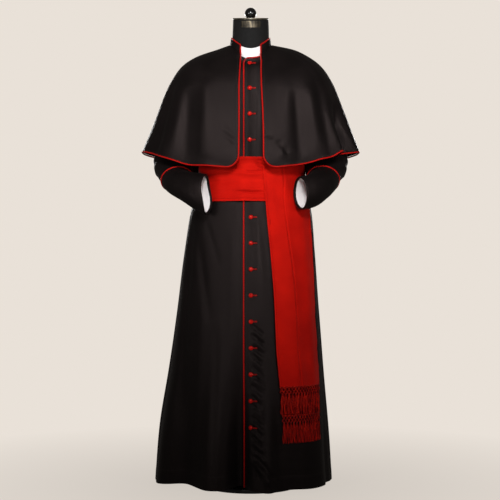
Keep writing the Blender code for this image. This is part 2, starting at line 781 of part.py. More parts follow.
def make_fringe(name, end_z, lift, slide, red):
    """A narrow heading strip whose underside is drawn down into separate strands."""
    mesh = bmesh.new()
    cells = 2 * STRANDS - 1
    top_z = end_z - GAP
    head = [mesh.verts.new((0, 0, 0)) for _ in range(4 * (cells + 1))]
    for i in range(cells + 1):
        for level in (0, 1):
            z = top_z - FRINGE_HEAD * level
            point, normal = tail_spot(i / cells, z, lift, slide)
            head[4 * i + level].co = point
            head[4 * i + 2 + level].co = point - normal * SILK
    for i in range(cells):
        a, b = head[4 * i : 4 * i + 4], head[4 * i + 4 : 4 * i + 8]
        two_triangles(mesh, a[1], b[1], b[0], a[0])
        two_triangles(mesh, a[2], b[2], b[3], a[3])
        two_triangles(mesh, a[0], b[0], b[2], a[2])
        if i % 2:
            two_triangles(mesh, a[3], b[3], b[1], a[1])
        else:
            draw_strand(mesh, (a[3], b[3], b[1], a[1]), i / cells, 1.0 / cells, lift, slide, top_z)
    for end in (head[0:4], head[-4:]):
        two_triangles(mesh, end[0], end[1], end[3], end[2])
    finish_mesh(name, mesh, red)


def draw_strand(mesh, root, share, width, lift, slide, top_z):
    """Two lengths of a strand under the heading, each swung a little to one side, and a closed end."""
    ring = root
    number = round(share / width)
    for length in (0.5, 1.0):
        sway = 0.35 * width * math.sin(number * 2.4 + length * 3.0)
        z = top_z - FRINGE_HEAD - (FRINGE_LENGTH - FRINGE_HEAD) * length * (1 - 0.03 * (number % 3))
        corners = []
        for across, inset in ((0.0, SILK), (1.0, SILK), (1.0, 0.0), (0.0, 0.0)):
            point, normal = tail_spot(share + sway + across * width, z, lift, slide)
            corners.append(mesh.verts.new(point - normal * inset))
        for i in range(4):
            k = (i + 1) % 4
            two_triangles(mesh, ring[i], ring[k], corners[k], corners[i])
        ring = corners
    two_triangles(mesh, *ring)


def make_sash(red):
    rows = [SASH_LOW_ROW + (SASH_HIGH_ROW - SASH_LOW_ROW) * i / 6 for i in range(7)]

    def round_angles(row):
        return [-180.0 + step * 10.0 for step in range(36)]

    outer, inner = [], []
    for row in rows:
        spots = [(sash_point(a, row), facing(body_point, a, row)) for a in round_angles(row)]
        outer.append([point for point, _ in spots])
        inner.append([point - normal * SILK for point, normal in spots])
    wall("sash_band", outer, inner, red, round_about=True)
    tails = (
        ("front", FRONT_TAIL_END, FRONT_TAIL_LIFT, 0.0),
        ("rear", REAR_TAIL_END, REAR_TAIL_LIFT, 0.003),
    )
    for name, end_z, lift, slide in tails:
        make_tail(name + "_tail", end_z, lift, slide, red)
        make_fringe(name + "_fringe", end_z, lift, slide, red)


# Dress form and stand

FORM_ROWS = [row for row in BODY_ROWS if FORM_BOTTOM_ROW < row <= 12.3]


def form_clearance(angle, row):
    """How far the form's skin lies inside the cloth. It carries the shoulders and is clear elsewhere."""
    loose = 0.014 - 0.004 * ease((row - 6.0) / 4.0)
    seat = ease((row - ARMHOLE_ROW - ARMHOLE_RISE * 0.98) / 0.5) * ease((abs(angle) - 35.0) / 20.0)
    return CLOTH + 0.0007 + loose * (1.0 - seat)


def form_angles(row):
    half = [a for a in left_front_angles(row) if a > 5.0] + left_back_angles(row)[1:-1]
    return [-a for a in reversed(half)] + [0.0] + half + [180.0]


def make_form(black, wood, glossy):
    rings = []
    for row in FORM_ROWS:
        spots = [(body_point(a, row), facing(body_point, a, row), a) for a in form_angles(row)]
        rings.append([p - n * form_clearance(a, row) for p, n, a in spots])
    foot = [Vector((p.x * 0.93, p.y * 0.93, p.z - 0.012)) for p in rings[0]]
    rings.insert(0, foot)
    for ring in NECK_BLOCK:
        rings.append([on_ring(ring, a) for a in form_angles(12.3)])
    for point in rings[-1]:
        point.z += NECK_TILT * point.y
    mesh = bmesh.new()
    skin = [[mesh.verts.new(p) for p in ring] for ring in rings]
    count = len(rings[0])
    for low, high in zip(skin, skin[1:]):
        for j in range(count):
            k = (j + 1) % count
            two_triangles(mesh, low[j], low[k], high[k], high[j])
    mesh.faces.new(skin[0])
    mesh.faces.new(skin[-1])
    bmesh.ops.triangulate(mesh, faces=[f for f in mesh.faces if len(f.verts) > 3])
    finish_mesh("dress_form", mesh, black)
    upwards = Vector((0.0, -NECK_TILT, 1.0)).normalized()
    cap_seat = Vector((0.0, 0.0, NECK_TOP)) + upwards * GAP
    cap = ((0.0, 0.0), (CAP_RADIUS, 0.0), (CAP_RADIUS, CAP_HEIGHT), (0.0, CAP_HEIGHT))
    turned("neck_cap", cap, 26, wood, cap_seat, upwards)
    centre = math.sqrt(KNOB_RADIUS**2 - KNOB_FOOT**2)
    turns = [math.radians(t) for t in (-52, -24, 5, 34, 63)]
    ball = [(KNOB_RADIUS * math.cos(t), centre + KNOB_RADIUS * math.sin(t)) for t in turns]
    knob = [(0.0, ball[0][1]), *ball, (0.0, centre + KNOB_RADIUS)]
    turned("knob", knob, 16, glossy, cap_seat + upwards * (CAP_HEIGHT + GAP), upwards)
    return rings[0][0].z


def make_stand(form_bottom, steel):
    chamfer = 0.003
    plate = (
        (0.0, 0.0),
        (BASE_RADIUS, 0.0),
        (BASE_RADIUS, BASE_HEIGHT - chamfer),
        (BASE_RADIUS - chamfer, BASE_HEIGHT),
        (0.0, BASE_HEIGHT),
    )
    turned("stand_base", plate, 28, steel)
    low, high = BASE_HEIGHT + GAP, form_bottom - GAP
    pole = ((0.0, low), (POLE_RADIUS, low), (POLE_RADIUS, high), (0.0, high))
    turned("stand_pole", pole, 12, steel)


def main():
    for item in list(bpy.data.objects):
        bpy.data.objects.remove(item)
    black = cloth_material("black wool", (0.010, 0.009, 0.010), 0.75)
    red = cloth_material("red silk", (0.55, 0.012, 0.010), 0.45)
    white = cloth_material("white linen", (0.80, 0.78, 0.78), 0.60)
    jersey = cloth_material("black jersey", (0.014, 0.013, 0.014), 0.80)
    wood = cloth_material("olive wood", (0.16, 0.12, 0.07), 0.50)
    glossy = cloth_material("black lacquer", (0.006, 0.006, 0.006), 0.12)
    steel = cloth_material("black steel", (0.03, 0.03, 0.03), 0.40, 0.8)
    make_body(black)
    make_collar(black, white)
    make_cape(black, red)
    make_sleeve("right", RIGHT_SLEEVE, -1, black, white, red)
    make_sleeve("left", LEFT_SLEEVE, 1, black, white, red)
    make_front_piping(red)
    make_collar_piping(red)
    make_buttons(red)
    make_sash(red)
    form_bottom = make_form(jersey, wood, glossy)
    make_stand(form_bottom, steel)


main()
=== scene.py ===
"""A man's black cassock with red piping, a shoulder cape and a fringed silk sash, worn by a limbless dress form.

Metres, +Z up, the front faces -Y. An angle round the figure starts at the front and turns towards +X, the wearer's left.
"""

import math

import bpy
import numpy as np
from mathutils import Matrix, Vector


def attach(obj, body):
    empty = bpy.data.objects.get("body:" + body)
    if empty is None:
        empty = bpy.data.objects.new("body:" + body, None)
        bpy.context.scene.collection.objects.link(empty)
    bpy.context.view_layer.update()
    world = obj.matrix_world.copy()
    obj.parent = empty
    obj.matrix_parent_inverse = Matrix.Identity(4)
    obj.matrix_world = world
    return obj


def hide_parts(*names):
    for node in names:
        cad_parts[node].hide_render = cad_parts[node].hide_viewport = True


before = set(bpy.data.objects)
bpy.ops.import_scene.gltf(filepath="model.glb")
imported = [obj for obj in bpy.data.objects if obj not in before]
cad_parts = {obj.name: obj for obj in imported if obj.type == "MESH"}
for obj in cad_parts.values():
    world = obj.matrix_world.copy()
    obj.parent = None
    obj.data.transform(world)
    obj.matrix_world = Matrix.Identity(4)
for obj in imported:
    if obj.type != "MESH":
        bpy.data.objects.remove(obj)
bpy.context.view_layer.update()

# ---------------------------------------------------------------------------
# The cassock's body: four panels of black wool gabardine, two fronts and two backs, seamed at the sides and down the
# back. The left front laps over the right one, and each hem is turned up 45 mm and hand felled.

GAP = 0.0003
CLOTH = 0.0020
LAP_EDGE, UNDERLAP_EDGE = -0.020, 0.022
UNDERLAP_FROM, UNDERLAP_FULL = -0.050, -0.030
HEM_TURN = 0.045
EDGE_STITCH = 0.006
NO_STITCHES = 1.0

# Sections of the body: heights at the front, side and back, reach to the left, right, front and back, squareness
BODY = (
    (0.022, 0.018, 0.018, 0.320, 0.271, 0.232, 0.262, 2.0),
    (0.200, 0.200, 0.200, 0.303, 0.257, 0.217, 0.240, 2.0),
    (0.400, 0.400, 0.400, 0.272, 0.242, 0.199, 0.214, 2.0),
    (0.600, 0.600, 0.600, 0.245, 0.228, 0.180, 0.188, 2.1),
    (0.800, 0.800, 0.800, 0.222, 0.217, 0.162, 0.164, 2.2),
    (0.940, 0.940, 0.940, 0.200, 0.205, 0.145, 0.144, 2.2),
    (1.030, 1.030, 1.030, 0.174, 0.177, 0.131, 0.121, 2.2),
    (1.120, 1.120, 1.120, 0.170, 0.172, 0.127, 0.114, 2.2),
    (1.220, 1.220, 1.220, 0.178, 0.179, 0.129, 0.119, 2.3),
    (1.310, 1.310, 1.310, 0.183, 0.184, 0.126, 0.127, 2.4),
    (1.375, 1.388, 1.388, 0.183, 0.184, 0.115, 0.121, 2.3),
    (1.416, 1.438, 1.440, 0.168, 0.169, 0.100, 0.101, 2.2),
    (1.434, 1.470, 1.480, 0.116, 0.120, 0.083, 0.078, 2.1),
    (1.441, 1.488, 1.503, 0.0705, 0.0705, 0.0680, 0.0630, 2.0),
)
HEM_ROWS = 1.6
ARMHOLE_ROW, ARMHOLE_RISE, ARMHOLE_ANGLE = 10.0, 1.1, 30.0

# Folds of the skirt: angle and half width in degrees, how far each stands out at the hem, the row where it starts,
# and how far it lifts the hem
SKIRT_FOLDS = (
    (-23, 8, 0.022, 3.6, 0),
    (-7.5, 5.5, -0.056, 2.9, 0.008),
    (11, 7, 0.032, 2.6, -0.003),
    (-48, 15, -0.030, 3.0, 0.009),
    (-72, 9, 0.006, 2.0, 0),
    (33, 8, -0.006, 1.5, 0),
    (48, 14, 0.002, 1.5, -0.003),
    (77, 8, -0.012, 2.2, 0),
    (104, 10, 0.012, 4.6, 0),
    (122, 10, -0.028, 4.8, 0),
    (143, 11, 0.024, 4.8, 0),
    (165, 10, -0.030, 4.8, 0),
    (-108, 11, 0.014, 4.6, 0),
    (-128, 10, -0.026, 4.8, 0),
    (-149, 11, 0.022, 4.8, 0),
    (-171, 10, -0.024, 4.6, 0),
)

# Creases pressed and worn into the panels. Each is the side it is seen from (0 front, 90 the wearer's left, 180 back),
# its two ends as (across, height), its half width and how far it stands out
SKIRT_CREASES = (
    (0, (-0.112, 0.560), (-0.124, -0.05), 0.012, -0.0035),
    (0, (-0.150, 0.700), (-0.190, -0.05), 0.020, 0.0040),
    (0, (-0.175, 0.840), (-0.135, 0.560), 0.014, -0.0035),
    (0, (-0.150, 0.900), (-0.100, 0.740), 0.010, -0.0025),
    (0, (0.008, 0.150), (0.082, 0.050), 0.0085, -0.0070),
    (0, (0.022, 0.125), (0.062, 0.040), 0.0100, 0.0060),
    (0, (-0.060, 0.900), (-0.066, 0.300), 0.012, 0.0018),
    (0, (0.030, 0.940), (0.058, 0.700), 0.009, -0.0020),
    (90, (-0.060, 0.900), (-0.110, 0.250), 0.016, -0.0045),
    (90, (0.020, 0.860), (0.030, -0.05), 0.020, 0.0050),
    (90, (0.085, 0.920), (0.130, 0.380), 0.015, -0.0040),
    (-90, (0.070, 0.900), (0.115, 0.200), 0.016, -0.0045),
    (-90, (-0.010, 0.840), (-0.030, -0.05), 0.020, 0.0050),
    (-90, (-0.090, 0.930), (-0.120, 0.420), 0.015, -0.0040),
    (180, (-0.060, 0.900), (-0.085, 0.300), 0.012, -0.0035),
    (180, (0.050, 0.880), (0.060, 0.350), 0.014, 0.0035),
    (180, (0.120, 0.860), (0.165, 0.300), 0.012, -0.0035),
    (180, (-0.125, 0.880), (-0.150, 0.400), 0.013, 0.0030),
    (180, (-0.110, 1.330), (-0.030, 1.260), 0.012, -0.0025),
    (180, (0.115, 1.320), (0.035, 1.240), 0.012, -0.0025),
    (0, (-0.130, 1.300), (-0.060, 1.180), 0.012, -0.0020),
    (0, (0.130, 1.300), (0.065, 1.190), 0.012, -0.0020),
)
PUCKER_TOP, PUCKER_PITCH, PUCKERS = 0.556, 0.0325, 14


def ease(share):
    """0 below 0, 1 above 1, and smooth between."""
    share = np.clip(share, 0.0, 1.0)
    return share * share * (3.0 - 2.0 * share)


def between(table, row):
    """The columns of a table at any row positions, each on a smooth curve that never swings past its rows."""
    table, row = np.array(table, dtype=float), np.asarray(row, dtype=float)
    last = len(table) - 1
    low = np.clip(np.floor(row).astype(int), 0, last - 1)
    t = (row - low)[..., None]
    before, here, after, beyond = (table[np.clip(low + step, 0, last)] for step in (-1, 0, 1, 2))

    def slope(rise, run):
        total = np.where(rise * run > 0, rise + run, 1.0)
        return np.where(rise * run > 0, 2.0 * rise * run / total, 0.0)

    start = np.where((low > 0)[..., None], slope(here - before, after - here), after - here)
    end = np.where((low + 1 < last)[..., None], slope(after - here, beyond - after), after - here)
    return (
        (2 * t**3 - 3 * t**2 + 1) * here
        + (t**3 - 2 * t**2 + t) * start
        + (3 * t**2 - 2 * t**3) * after
        + (t**3 - t**2) * end
    )


def on_section(table, angle, row):
    """Points on a garment's sections."""
    turn = np.radians(angle)
    across, ahead = np.sin(turn), np.cos(turn)
    front_z, side_z, back_z, left, right, front, back, square = np.moveaxis(between(table, row), -1, 0)
    reach = (np.abs(across) ** square + np.abs(ahead) ** square) ** (-1.0 / square)
    x = np.where(across > 0, right, left) * across * reach
    y = -np.where(ahead > 0, front, back) * ahead * reach
    z = side_z + (np.where(ahead > 0, front_z, back_z) - side_z) * ahead**2
    return np.stack((x, y, z), axis=-1)


def folded(table, folds, angle, row):
    """Points on a garment whose folds push it straight out from the figure's middle line and lift its hem."""
    angle, row = np.broadcast_arrays(np.asarray(angle, dtype=float), np.asarray(row, dtype=float))
    points = on_section(table, angle, row)
    sections = between(table, row)
    away = np.stack((points[..., 0] / sections[..., 4] ** 2, points[..., 1] / sections[..., 5] ** 2), axis=-1)
    away /= np.linalg.norm(away, axis=-1, keepdims=True)
    push, lift = np.zeros(angle.shape), np.zeros(angle.shape)
    for place, width, depth, start, rise in folds:
        share = np.exp(-((((angle - place + 180.0) % 360.0 - 180.0) / width) ** 2))
        push += depth * share * ease((start - row) / start)
        lift += rise * share * ease(1.0 - row / HEM_ROWS)
    points[..., :2] += away * push[..., None]
    points[..., 2] += lift
    return points


def body_point(angle, row):
    return folded(BODY, SKIRT_FOLDS, angle, row)


def facing(surface, u, v, du=0.4, dv=0.02):
    """The outward normals of a surface whose u turns towards +X and whose v climbs."""
    along = surface(u + du, v) - surface(u - du, v)
    up = surface(u, v + dv) - surface(u, v - dv)
    out = np.cross(along, up)
    return out / np.linalg.norm(out, axis=-1, keepdims=True)


def angle_at(table, row, x):
    """The angle at which a section crosses the plane at x, on its front."""
    sections = between(table, row)
    width = np.where(np.asarray(x) > 0, sections[..., 4], sections[..., 3])
    return np.degrees(np.arcsin(np.clip(x / width, -1.0, 1.0)))


def row_at(table, z):
    """The row position at a height on the front."""
    rows = np.linspace(0.0, len(table) - 1.0, 300)
    return np.interp(z, between(table, rows)[:, 0], rows)


def even_rows(surface, angle, low, high, step):
    """Row positions about the same distance apart on the cloth."""
    rows = np.linspace(low, high, 1500)
    points = surface(np.full(rows.shape, float(angle)), rows)
    length = np.concatenate(([0.0], np.cumsum(np.linalg.norm(np.diff(points, axis=0), axis=1))))
    return np.interp(np.linspace(0.0, length[-1], int(length[-1] / step) + 2), length, rows)


def creased(points, normals, creases):
    """How far a list of creases pushes the points out."""
    out = np.zeros(points.shape[:-1])
    for side, start, end, width, depth in creases:
        turn = math.radians(side)
        across = points @ np.array((math.cos(turn), math.sin(turn), 0.0))
        seen = np.clip(normals @ np.array((math.sin(turn), -math.cos(turn), 0.0)) * 2.5, 0.0, 1.0)
        run = np.subtract(end, start)
        share = ((across - start[0]) * run[0] + (points[..., 2] - start[1]) * run[1]) / (run @ run)
        share = np.clip(share, 0.0, 1.0)
        off = np.hypot(across - start[0] - share * run[0], points[..., 2] - start[1] - share * run[1])
        taper = 1.0 - (2.0 * share - 1.0) ** 4
        out += depth * seen * taper * np.exp(-((off / width) ** 2))
    return out


def rippled(points, size, depth, seed, upright=0.35):
    """Slow uneven waves, as cloth never hangs quite smooth. They run more up and down than across."""
    rng = np.random.default_rng(seed)
    total = np.zeros(points.shape[:-1])
    for _ in range(8):
        direction = rng.normal(size=3) * (1.0, 1.0, upright)
        direction /= np.linalg.norm(direction)
        total += np.sin(points @ direction * math.tau / (size * rng.uniform(0.6, 1.7)) + rng.uniform(0, math.tau))
    return depth * total / math.sqrt(8.0)


def lengths(points, axis):
    """How far each point of a grid lies along the cloth, from the grid's first row or column."""
    steps = np.linalg.norm(np.diff(points, axis=axis), axis=-1)
    return np.concatenate((np.zeros_like(np.take(steps, [0], axis=axis)), np.cumsum(steps, axis=axis)), axis=axis)


def sew(name, nodes, points, thick, finish, hem=None, edge=None, edge_from_last=False, tube=False):
    """A shell of cloth with its outer face on a grid of points, which replaces its CAD nodes.
    Its first UV map is in metres across and along the cloth. The second is how far each spot lies from the row of
    stitches along its hem, and from the one beside its edge."""
    grid = np.concatenate((points, points[:, :1]), axis=1) if tube else points
    rows, columns = grid.shape[:2]
    across, along = lengths(grid, 1), lengths(grid, 0)
    if edge_from_last:
        across = across[:, -1:] - across
    stitches = np.full((rows, columns, 2), NO_STITCHES)
    if hem is not None:
        stitches[..., 0] = along - hem
    if edge is not None:
        stitches[..., 1] = across - edge
    around = points.shape[1]
    i, j = (a.ravel() for a in np.meshgrid(np.arange(rows - 1), np.arange(columns - 1), indexing="ij"))
    corners = ((i, j), (i, j + 1), (i + 1, j + 1), (i + 1, j))
    faces = np.stack([a * around + b % around for a, b in corners], axis=1)
    mesh = bpy.data.meshes.new(name)
    mesh.from_pydata(points.reshape(-1, 3).tolist(), [], faces.tolist())
    for map_name, values in (("cloth", np.stack((across, along), axis=-1)), ("stitches", stitches)):
        layer = mesh.uv_layers.new(name=map_name)
        layer.data.foreach_set("uv", np.stack([values[a, b] for a, b in corners], axis=1).ravel())
    mesh.materials.append(finish)
    mesh.shade_smooth()
    piece = bpy.data.objects.new(name, mesh)
    bpy.context.scene.collection.objects.link(piece)
    bpy.ops.object.select_all(action="DESELECT")
    bpy.context.view_layer.objects.active = piece
    piece.select_set(True)
    wall = piece.modifiers.new("wall", "SOLIDIFY")
    wall.thickness = thick
    wall.offset = -1.0
    bpy.ops.object.modifier_apply(modifier=wall.name)
    piece.data.set_sharp_from_angle(angle=math.radians(60))
    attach(piece, "root")
    if nodes:
        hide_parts(*nodes)
    return piece


def tint(code):
    """The linear colour of an sRGB hex value."""
    parts = [int(code[i : i + 2], 16) / 255 for i in (1, 3, 5)]
    return (*[p / 12.92 if p <= 0.04045 else ((p + 0.055) / 1.055) ** 2.4 for p in parts], 1.0)


def add(tree, kind, links, **settings):
    """Adds a node with its settings, and its inputs set to values or joined to other nodes' outputs."""
    node = tree.nodes.new(kind)
    for setting, value in settings.items():
        setattr(node, setting, value)
    for socket, value in links.items():
        if isinstance(value, bpy.types.NodeSocket):
            tree.links.new(value, node.inputs[socket])
        else:
            node.inputs[socket].default_value = value
    return node


def start_material(name, roughness, **sockets):
    """A new Principled material with its plain settings."""
    material = bpy.data.materials.new(name)
    material.use_nodes = True
    shader = material.node_tree.nodes["Principled BSDF"]
    shader.inputs["Roughness"].default_value = roughness
    for socket, value in sockets.items():
        shader.inputs[socket.replace("_", " ")].default_value = value
    return material, material.node_tree, shader


def wave(tree, value, period):
    """A sine of a length in metres, from -1 to 1, once a period."""
    scaled = add(tree, "ShaderNodeMath", {0: value, 1: math.tau / period}, operation="MULTIPLY")
    return add(tree, "ShaderNodeMath", {0: scaled.outputs[0]}, operation="SINE").outputs[0]


def stitch_mask(tree, off, run, width, pitch):
    """1 on the threads of a row of stitches, from the distance off the row and along it."""
    near = add(tree, "ShaderNodeMath", {0: off}, operation="ABSOLUTE").outputs[0]
    on_row = add(tree, "ShaderNodeMapRange", {0: near, 1: width, 2: width * 0.4, 3: 0.0, 4: 1.0}).outputs[0]
    dashes = wave(tree, run, pitch)
    on_dash = add(tree, "ShaderNodeMapRange", {0: dashes, 1: -0.5, 2: 0.1, 3: 0.0, 4: 1.0}).outputs[0]
    return add(tree, "ShaderNodeMath", {0: on_row, 1: on_dash}, operation="MULTIPLY").outputs[0]


# Wool gabardine, piece dyed black and pressed: a close steep twill with a soft satin light and no fuzz. Real twill
# lines lie 0.4 mm apart, which no view shows, so they are drawn 1.8 mm apart.
TWILL = 0.0018


def gabardine(name, dark, light, roughness, sheen):
    material, tree, shader = start_material(name, roughness, Sheen_Weight=sheen, Sheen_Roughness=0.45)
    shader.inputs["Sheen Tint"].default_value = tint("#B8A8A2")
    shader.inputs["Specular IOR Level"].default_value = 0.16
    shader.inputs["Specular Tint"].default_value = tint("#FFE4E0")
    cloth = add(tree, "ShaderNodeUVMap", {}, uv_map="cloth")
    place = add(tree, "ShaderNodeSeparateXYZ", {0: cloth.outputs[0]})
    u, v = place.outputs[0], place.outputs[1]
    lean = add(tree, "ShaderNodeMath", {0: v, 1: 0.5, 2: u}, operation="MULTIPLY_ADD").outputs[0]
    twill = wave(tree, lean, TWILL)
    slub = add(tree, "ShaderNodeTexNoise", {"Vector": cloth.outputs[0], "Scale": 190.0, "Detail": 3.0})
    cloud = add(tree, "ShaderNodeTexNoise", {"Vector": cloth.outputs[0], "Scale": 7.0, "Detail": 3.0})
    stitched = add(tree, "ShaderNodeUVMap", {}, uv_map="stitches")
    off = add(tree, "ShaderNodeSeparateXYZ", {0: stitched.outputs[0]})
    hem = stitch_mask(tree, off.outputs[0], u, 0.0011, 0.0080)
    edge = stitch_mask(tree, off.outputs[1], v, 0.0009, 0.0045)
    stitches = add(tree, "ShaderNodeMath", {0: hem, 1: edge}, operation="MAXIMUM").outputs[0]
    shade = add(tree, "ShaderNodeMath", {0: slub.outputs[0], 1: 0.45, 2: cloud.outputs[0]}, operation="MULTIPLY_ADD")
    shade = add(tree, "ShaderNodeMapRange", {0: shade.outputs[0], 1: 0.45, 2: 1.0, 3: 0.0, 4: 1.0})
    colour = add(tree, "ShaderNodeMix", {0: shade.outputs[0], 6: tint(dark), 7: tint(light)}, data_type="RGBA")
    thread = {0: stitches, 6: colour.outputs[2], 7: tint("#221E1E")}
    colour = add(tree, "ShaderNodeMix", thread, data_type="RGBA")
    tree.links.new(colour.outputs[2], shader.inputs["Base Color"])
    rough = add(tree, "ShaderNodeMapRange", {0: cloud.outputs[0], 1: 0.3, 2: 0.7, 3: roughness - 0.06, 4: roughness + 0.06})
    tree.links.new(rough.outputs[0], shader.inputs["Roughness"])
    height = add(tree, "ShaderNodeMath", {0: slub.outputs[0], 1: 1.6, 2: twill}, operation="MULTIPLY_ADD").outputs[0]
    height = add(tree, "ShaderNodeMath", {0: stitches, 1: 3.0, 2: height}, operation="MULTIPLY_ADD").outputs[0]
    bump = add(tree, "ShaderNodeBump", {"Height": height, "Strength": 0.35, "Distance": 0.00025})
    tree.links.new(bump.outputs[0], shader.inputs["Normal"])
    return material


wool = gabardine("black wool gabardine, pressed", "#080606", "#120E0E", 0.50, 0.02)


def armhole_half_angle(row):
    """Half the armhole's width in degrees."""
    share = (row - ARMHOLE_ROW) / ARMHOLE_RISE
    return ARMHOLE_ANGLE * np.sqrt(np.clip(1.0 - share * share, 0.0, 1.0))


def seam_angle(table, row):
    """Half a seam's gap in degrees, on any section."""
    return np.degrees(GAP * 0.6 / between(table, row)[..., 6])


def right_front_point(angle, row):
    """The right front dips under the left one by one wall and a gap."""
    points = body_point(angle, row)
    dip = ease((points[..., 0] - UNDERLAP_FROM) / (UNDERLAP_FULL - UNDERLAP_FROM))
    return points - facing(body_point, angle, row) * ((CLOTH + GAP) * dip)[..., None]


def left_front_columns(row):
    side = 90.0 - np.maximum(armhole_half_angle(row), seam_angle(BODY, row))
    return angle_at(BODY, row, LAP_EDGE), side


def right_front_columns(row):
    side = -90.0 + np.maximum(armhole_half_angle(row), seam_angle(BODY, row))
    return side, angle_at(BODY, row, UNDERLAP_EDGE)


def left_back_columns(row):
    return 90.0 + np.maximum(armhole_half_angle(row), seam_angle(BODY, row)), 180.0 - seam_angle(BODY, row)


def right_back_columns(row):
    first, last = left_back_columns(row)
    return -last, -first


def placket_puckers(points):
    """The lap pulls in short slanting puckers below the knee, where its inner row of stitches is drawn tight."""
    out = np.zeros(points.shape[:-1])
    for number in range(PUCKERS):
        top = PUCKER_TOP - PUCKER_PITCH * number + 0.004 * math.sin(number * 2.6)
        reach = 0.044 + 0.006 * math.sin(number * 1.7)
        start, end = (0.000, top), (reach, top - 0.036 - 0.006 * math.sin(number * 2.1))
        depth = 0.0052 + 0.0012 * math.sin(number * 3.1)
        out += creased(points, np.array((0.0, -1.0, 0.0)), ((0, start, end, 0.0048, -depth),))
        lower = (0, (start[0] + 0.010, start[1] - 0.016), (end[0], end[1] - 0.016), 0.0060, depth * 0.7)
        out += creased(points, np.array((0.0, -1.0, 0.0)), (lower,))
    return out


def panel(name, surface, columns_of, count, seams, edge=None, edge_from_last=False, step=0.0105, crowd=1.0):
    """One panel of the body, its outer face on the sections and folds, with its creases and hem turn-up. Its points
    may crowd towards its first edge."""
    turns = np.radians(np.arange(-90, 91, 7.5))
    rows = np.union1d(even_rows(body_point, 90.0, 0.0, 13.0, step), ARMHOLE_ROW + ARMHOLE_RISE * np.sin(turns))
    rows = rows[np.concatenate(([True], np.diff(rows) > 0.010))]
    first, last = columns_of(rows)
    angles = first[:, None] + (last - first)[:, None] * np.linspace(0.0, 1.0, count)[None, :] ** crowd
    spots = np.broadcast_to(rows[:, None], angles.shape)
    points, normals = surface(angles, spots), facing(surface, angles, spots)
    push = creased(points, normals, SKIRT_CREASES) + rippled(points, 0.16, 0.0011, 3)
    if name == "left_front":
        push += placket_puckers(points)
    free = 1.0 - ease((points[..., 2] - 0.915) / 0.03) * ease((1.150 - points[..., 2]) / 0.03)
    free *= 1.0 - ease((points[..., 2] - 1.40) / 0.04)
    push = push * free
    along, across = lengths(points, 0), lengths(points, 1)
    push += 0.0006 * ease((HEM_TURN - along) / 0.002 + 0.5) - 0.0009 * np.exp(-(((along - HEM_TURN) / 0.0035) ** 2))
    width = across[:, -1:]
    for at_first in seams:
        off = across if at_first else width - across
        push -= 0.0012 * np.exp(-((off / 0.004) ** 2))
    points = points + normals * push[..., None]
    nodes = [name, name + "_skirt"]
    return sew(name + "_panel", nodes, points, CLOTH, wool, HEM_TURN, edge, edge_from_last)


left_front = panel("left_front", body_point, left_front_columns, 120, (False,), EDGE_STITCH, False, 0.0065, 1.5)
right_front = panel("right_front", right_front_point, right_front_columns, 96, (True,), None, True)
left_back = panel("left_back", body_point, left_back_columns, 88, (True, False))
right_back = panel("right_back", body_point, right_back_columns, 88, (True, False))

# ---------------------------------------------------------------------------
# The standing collar: one band of the same wool, interlined so that it stands, seamed to the neck edge. It is cut open
# at the front, and a smooth white tab fills the gap from behind.

COLLAR_EDGE, TAB_TUCK, TAB_THICK = 0.0350, 0.004, 0.0010
COLLAR = (
    (1.4415, 1.4885, 1.5035, 0.0705, 0.0705, 0.0680, 0.0630, 2.0),
    (1.4600, 1.5030, 1.5185, 0.0690, 0.0690, 0.0670, 0.0625, 2.0),
    (1.4765, 1.5155, 1.5310, 0.0672, 0.0672, 0.0655, 0.0618, 2.0),
)


def collar_point(angle, row):
    angle, row = np.broadcast_arrays(np.asarray(angle, dtype=float), np.asarray(row, dtype=float))
    return on_section(COLLAR, angle, row)


# Smooth white board under a thin glazed cotton: no weave shows, only a faint unevenness in its gloss.
def glazed_cotton():
    material, tree, shader = start_material("white glazed cotton", 0.42)
    shader.inputs["Specular IOR Level"].default_value = 0.5
    place = add(tree, "ShaderNodeUVMap", {}, uv_map="cloth")
    cloud = add(tree, "ShaderNodeTexNoise", {"Vector": place.outputs[0], "Scale": 60.0, "Detail": 2.0})
    colour = {0: cloud.outputs[0], 6: tint("#E9E6E6"), 7: tint("#F6F4F3")}
    colour = add(tree, "ShaderNodeMix", colour, data_type="RGBA")
    tree.links.new(colour.outputs[2], shader.inputs["Base Color"])
    fine = add(tree, "ShaderNodeTexNoise", {"Vector": place.outputs[0], "Scale": 900.0, "Detail": 1.0})
    bump = add(tree, "ShaderNodeBump", {"Height": fine.outputs[0], "Strength": 0.12, "Distance": 0.0002})
    tree.links.new(bump.outputs[0], shader.inputs["Normal"])
    return material


glazed_white = glazed_cotton()

collar_rows = np.linspace(0.0, 2.0, 15)[:, None]
collar_edge = angle_at(COLLAR, collar_rows, COLLAR_EDGE)
collar_angles = collar_edge + (360.0 - 2 * collar_edge) * np.linspace(0.0, 1.0, 121)[None, :]
collar_spots = np.broadcast_to(collar_rows, collar_angles.shape)
collar_face = collar_point(collar_angles, collar_spots)
collar_out = facing(collar_point, collar_angles, collar_spots)
collar_push = rippled(collar_face, 0.05, 0.0004, 5)
collar_push -= 0.0008 * np.exp(-((collar_spots / 0.10) ** 2)) + 0.0006 * np.exp(-(((collar_spots - 2.0) / 0.08) ** 2))
collar_face = collar_face + collar_out * collar_push[..., None]
collar = sew("collar_band", ["collar"], collar_face, CLOTH, wool, 0.036)

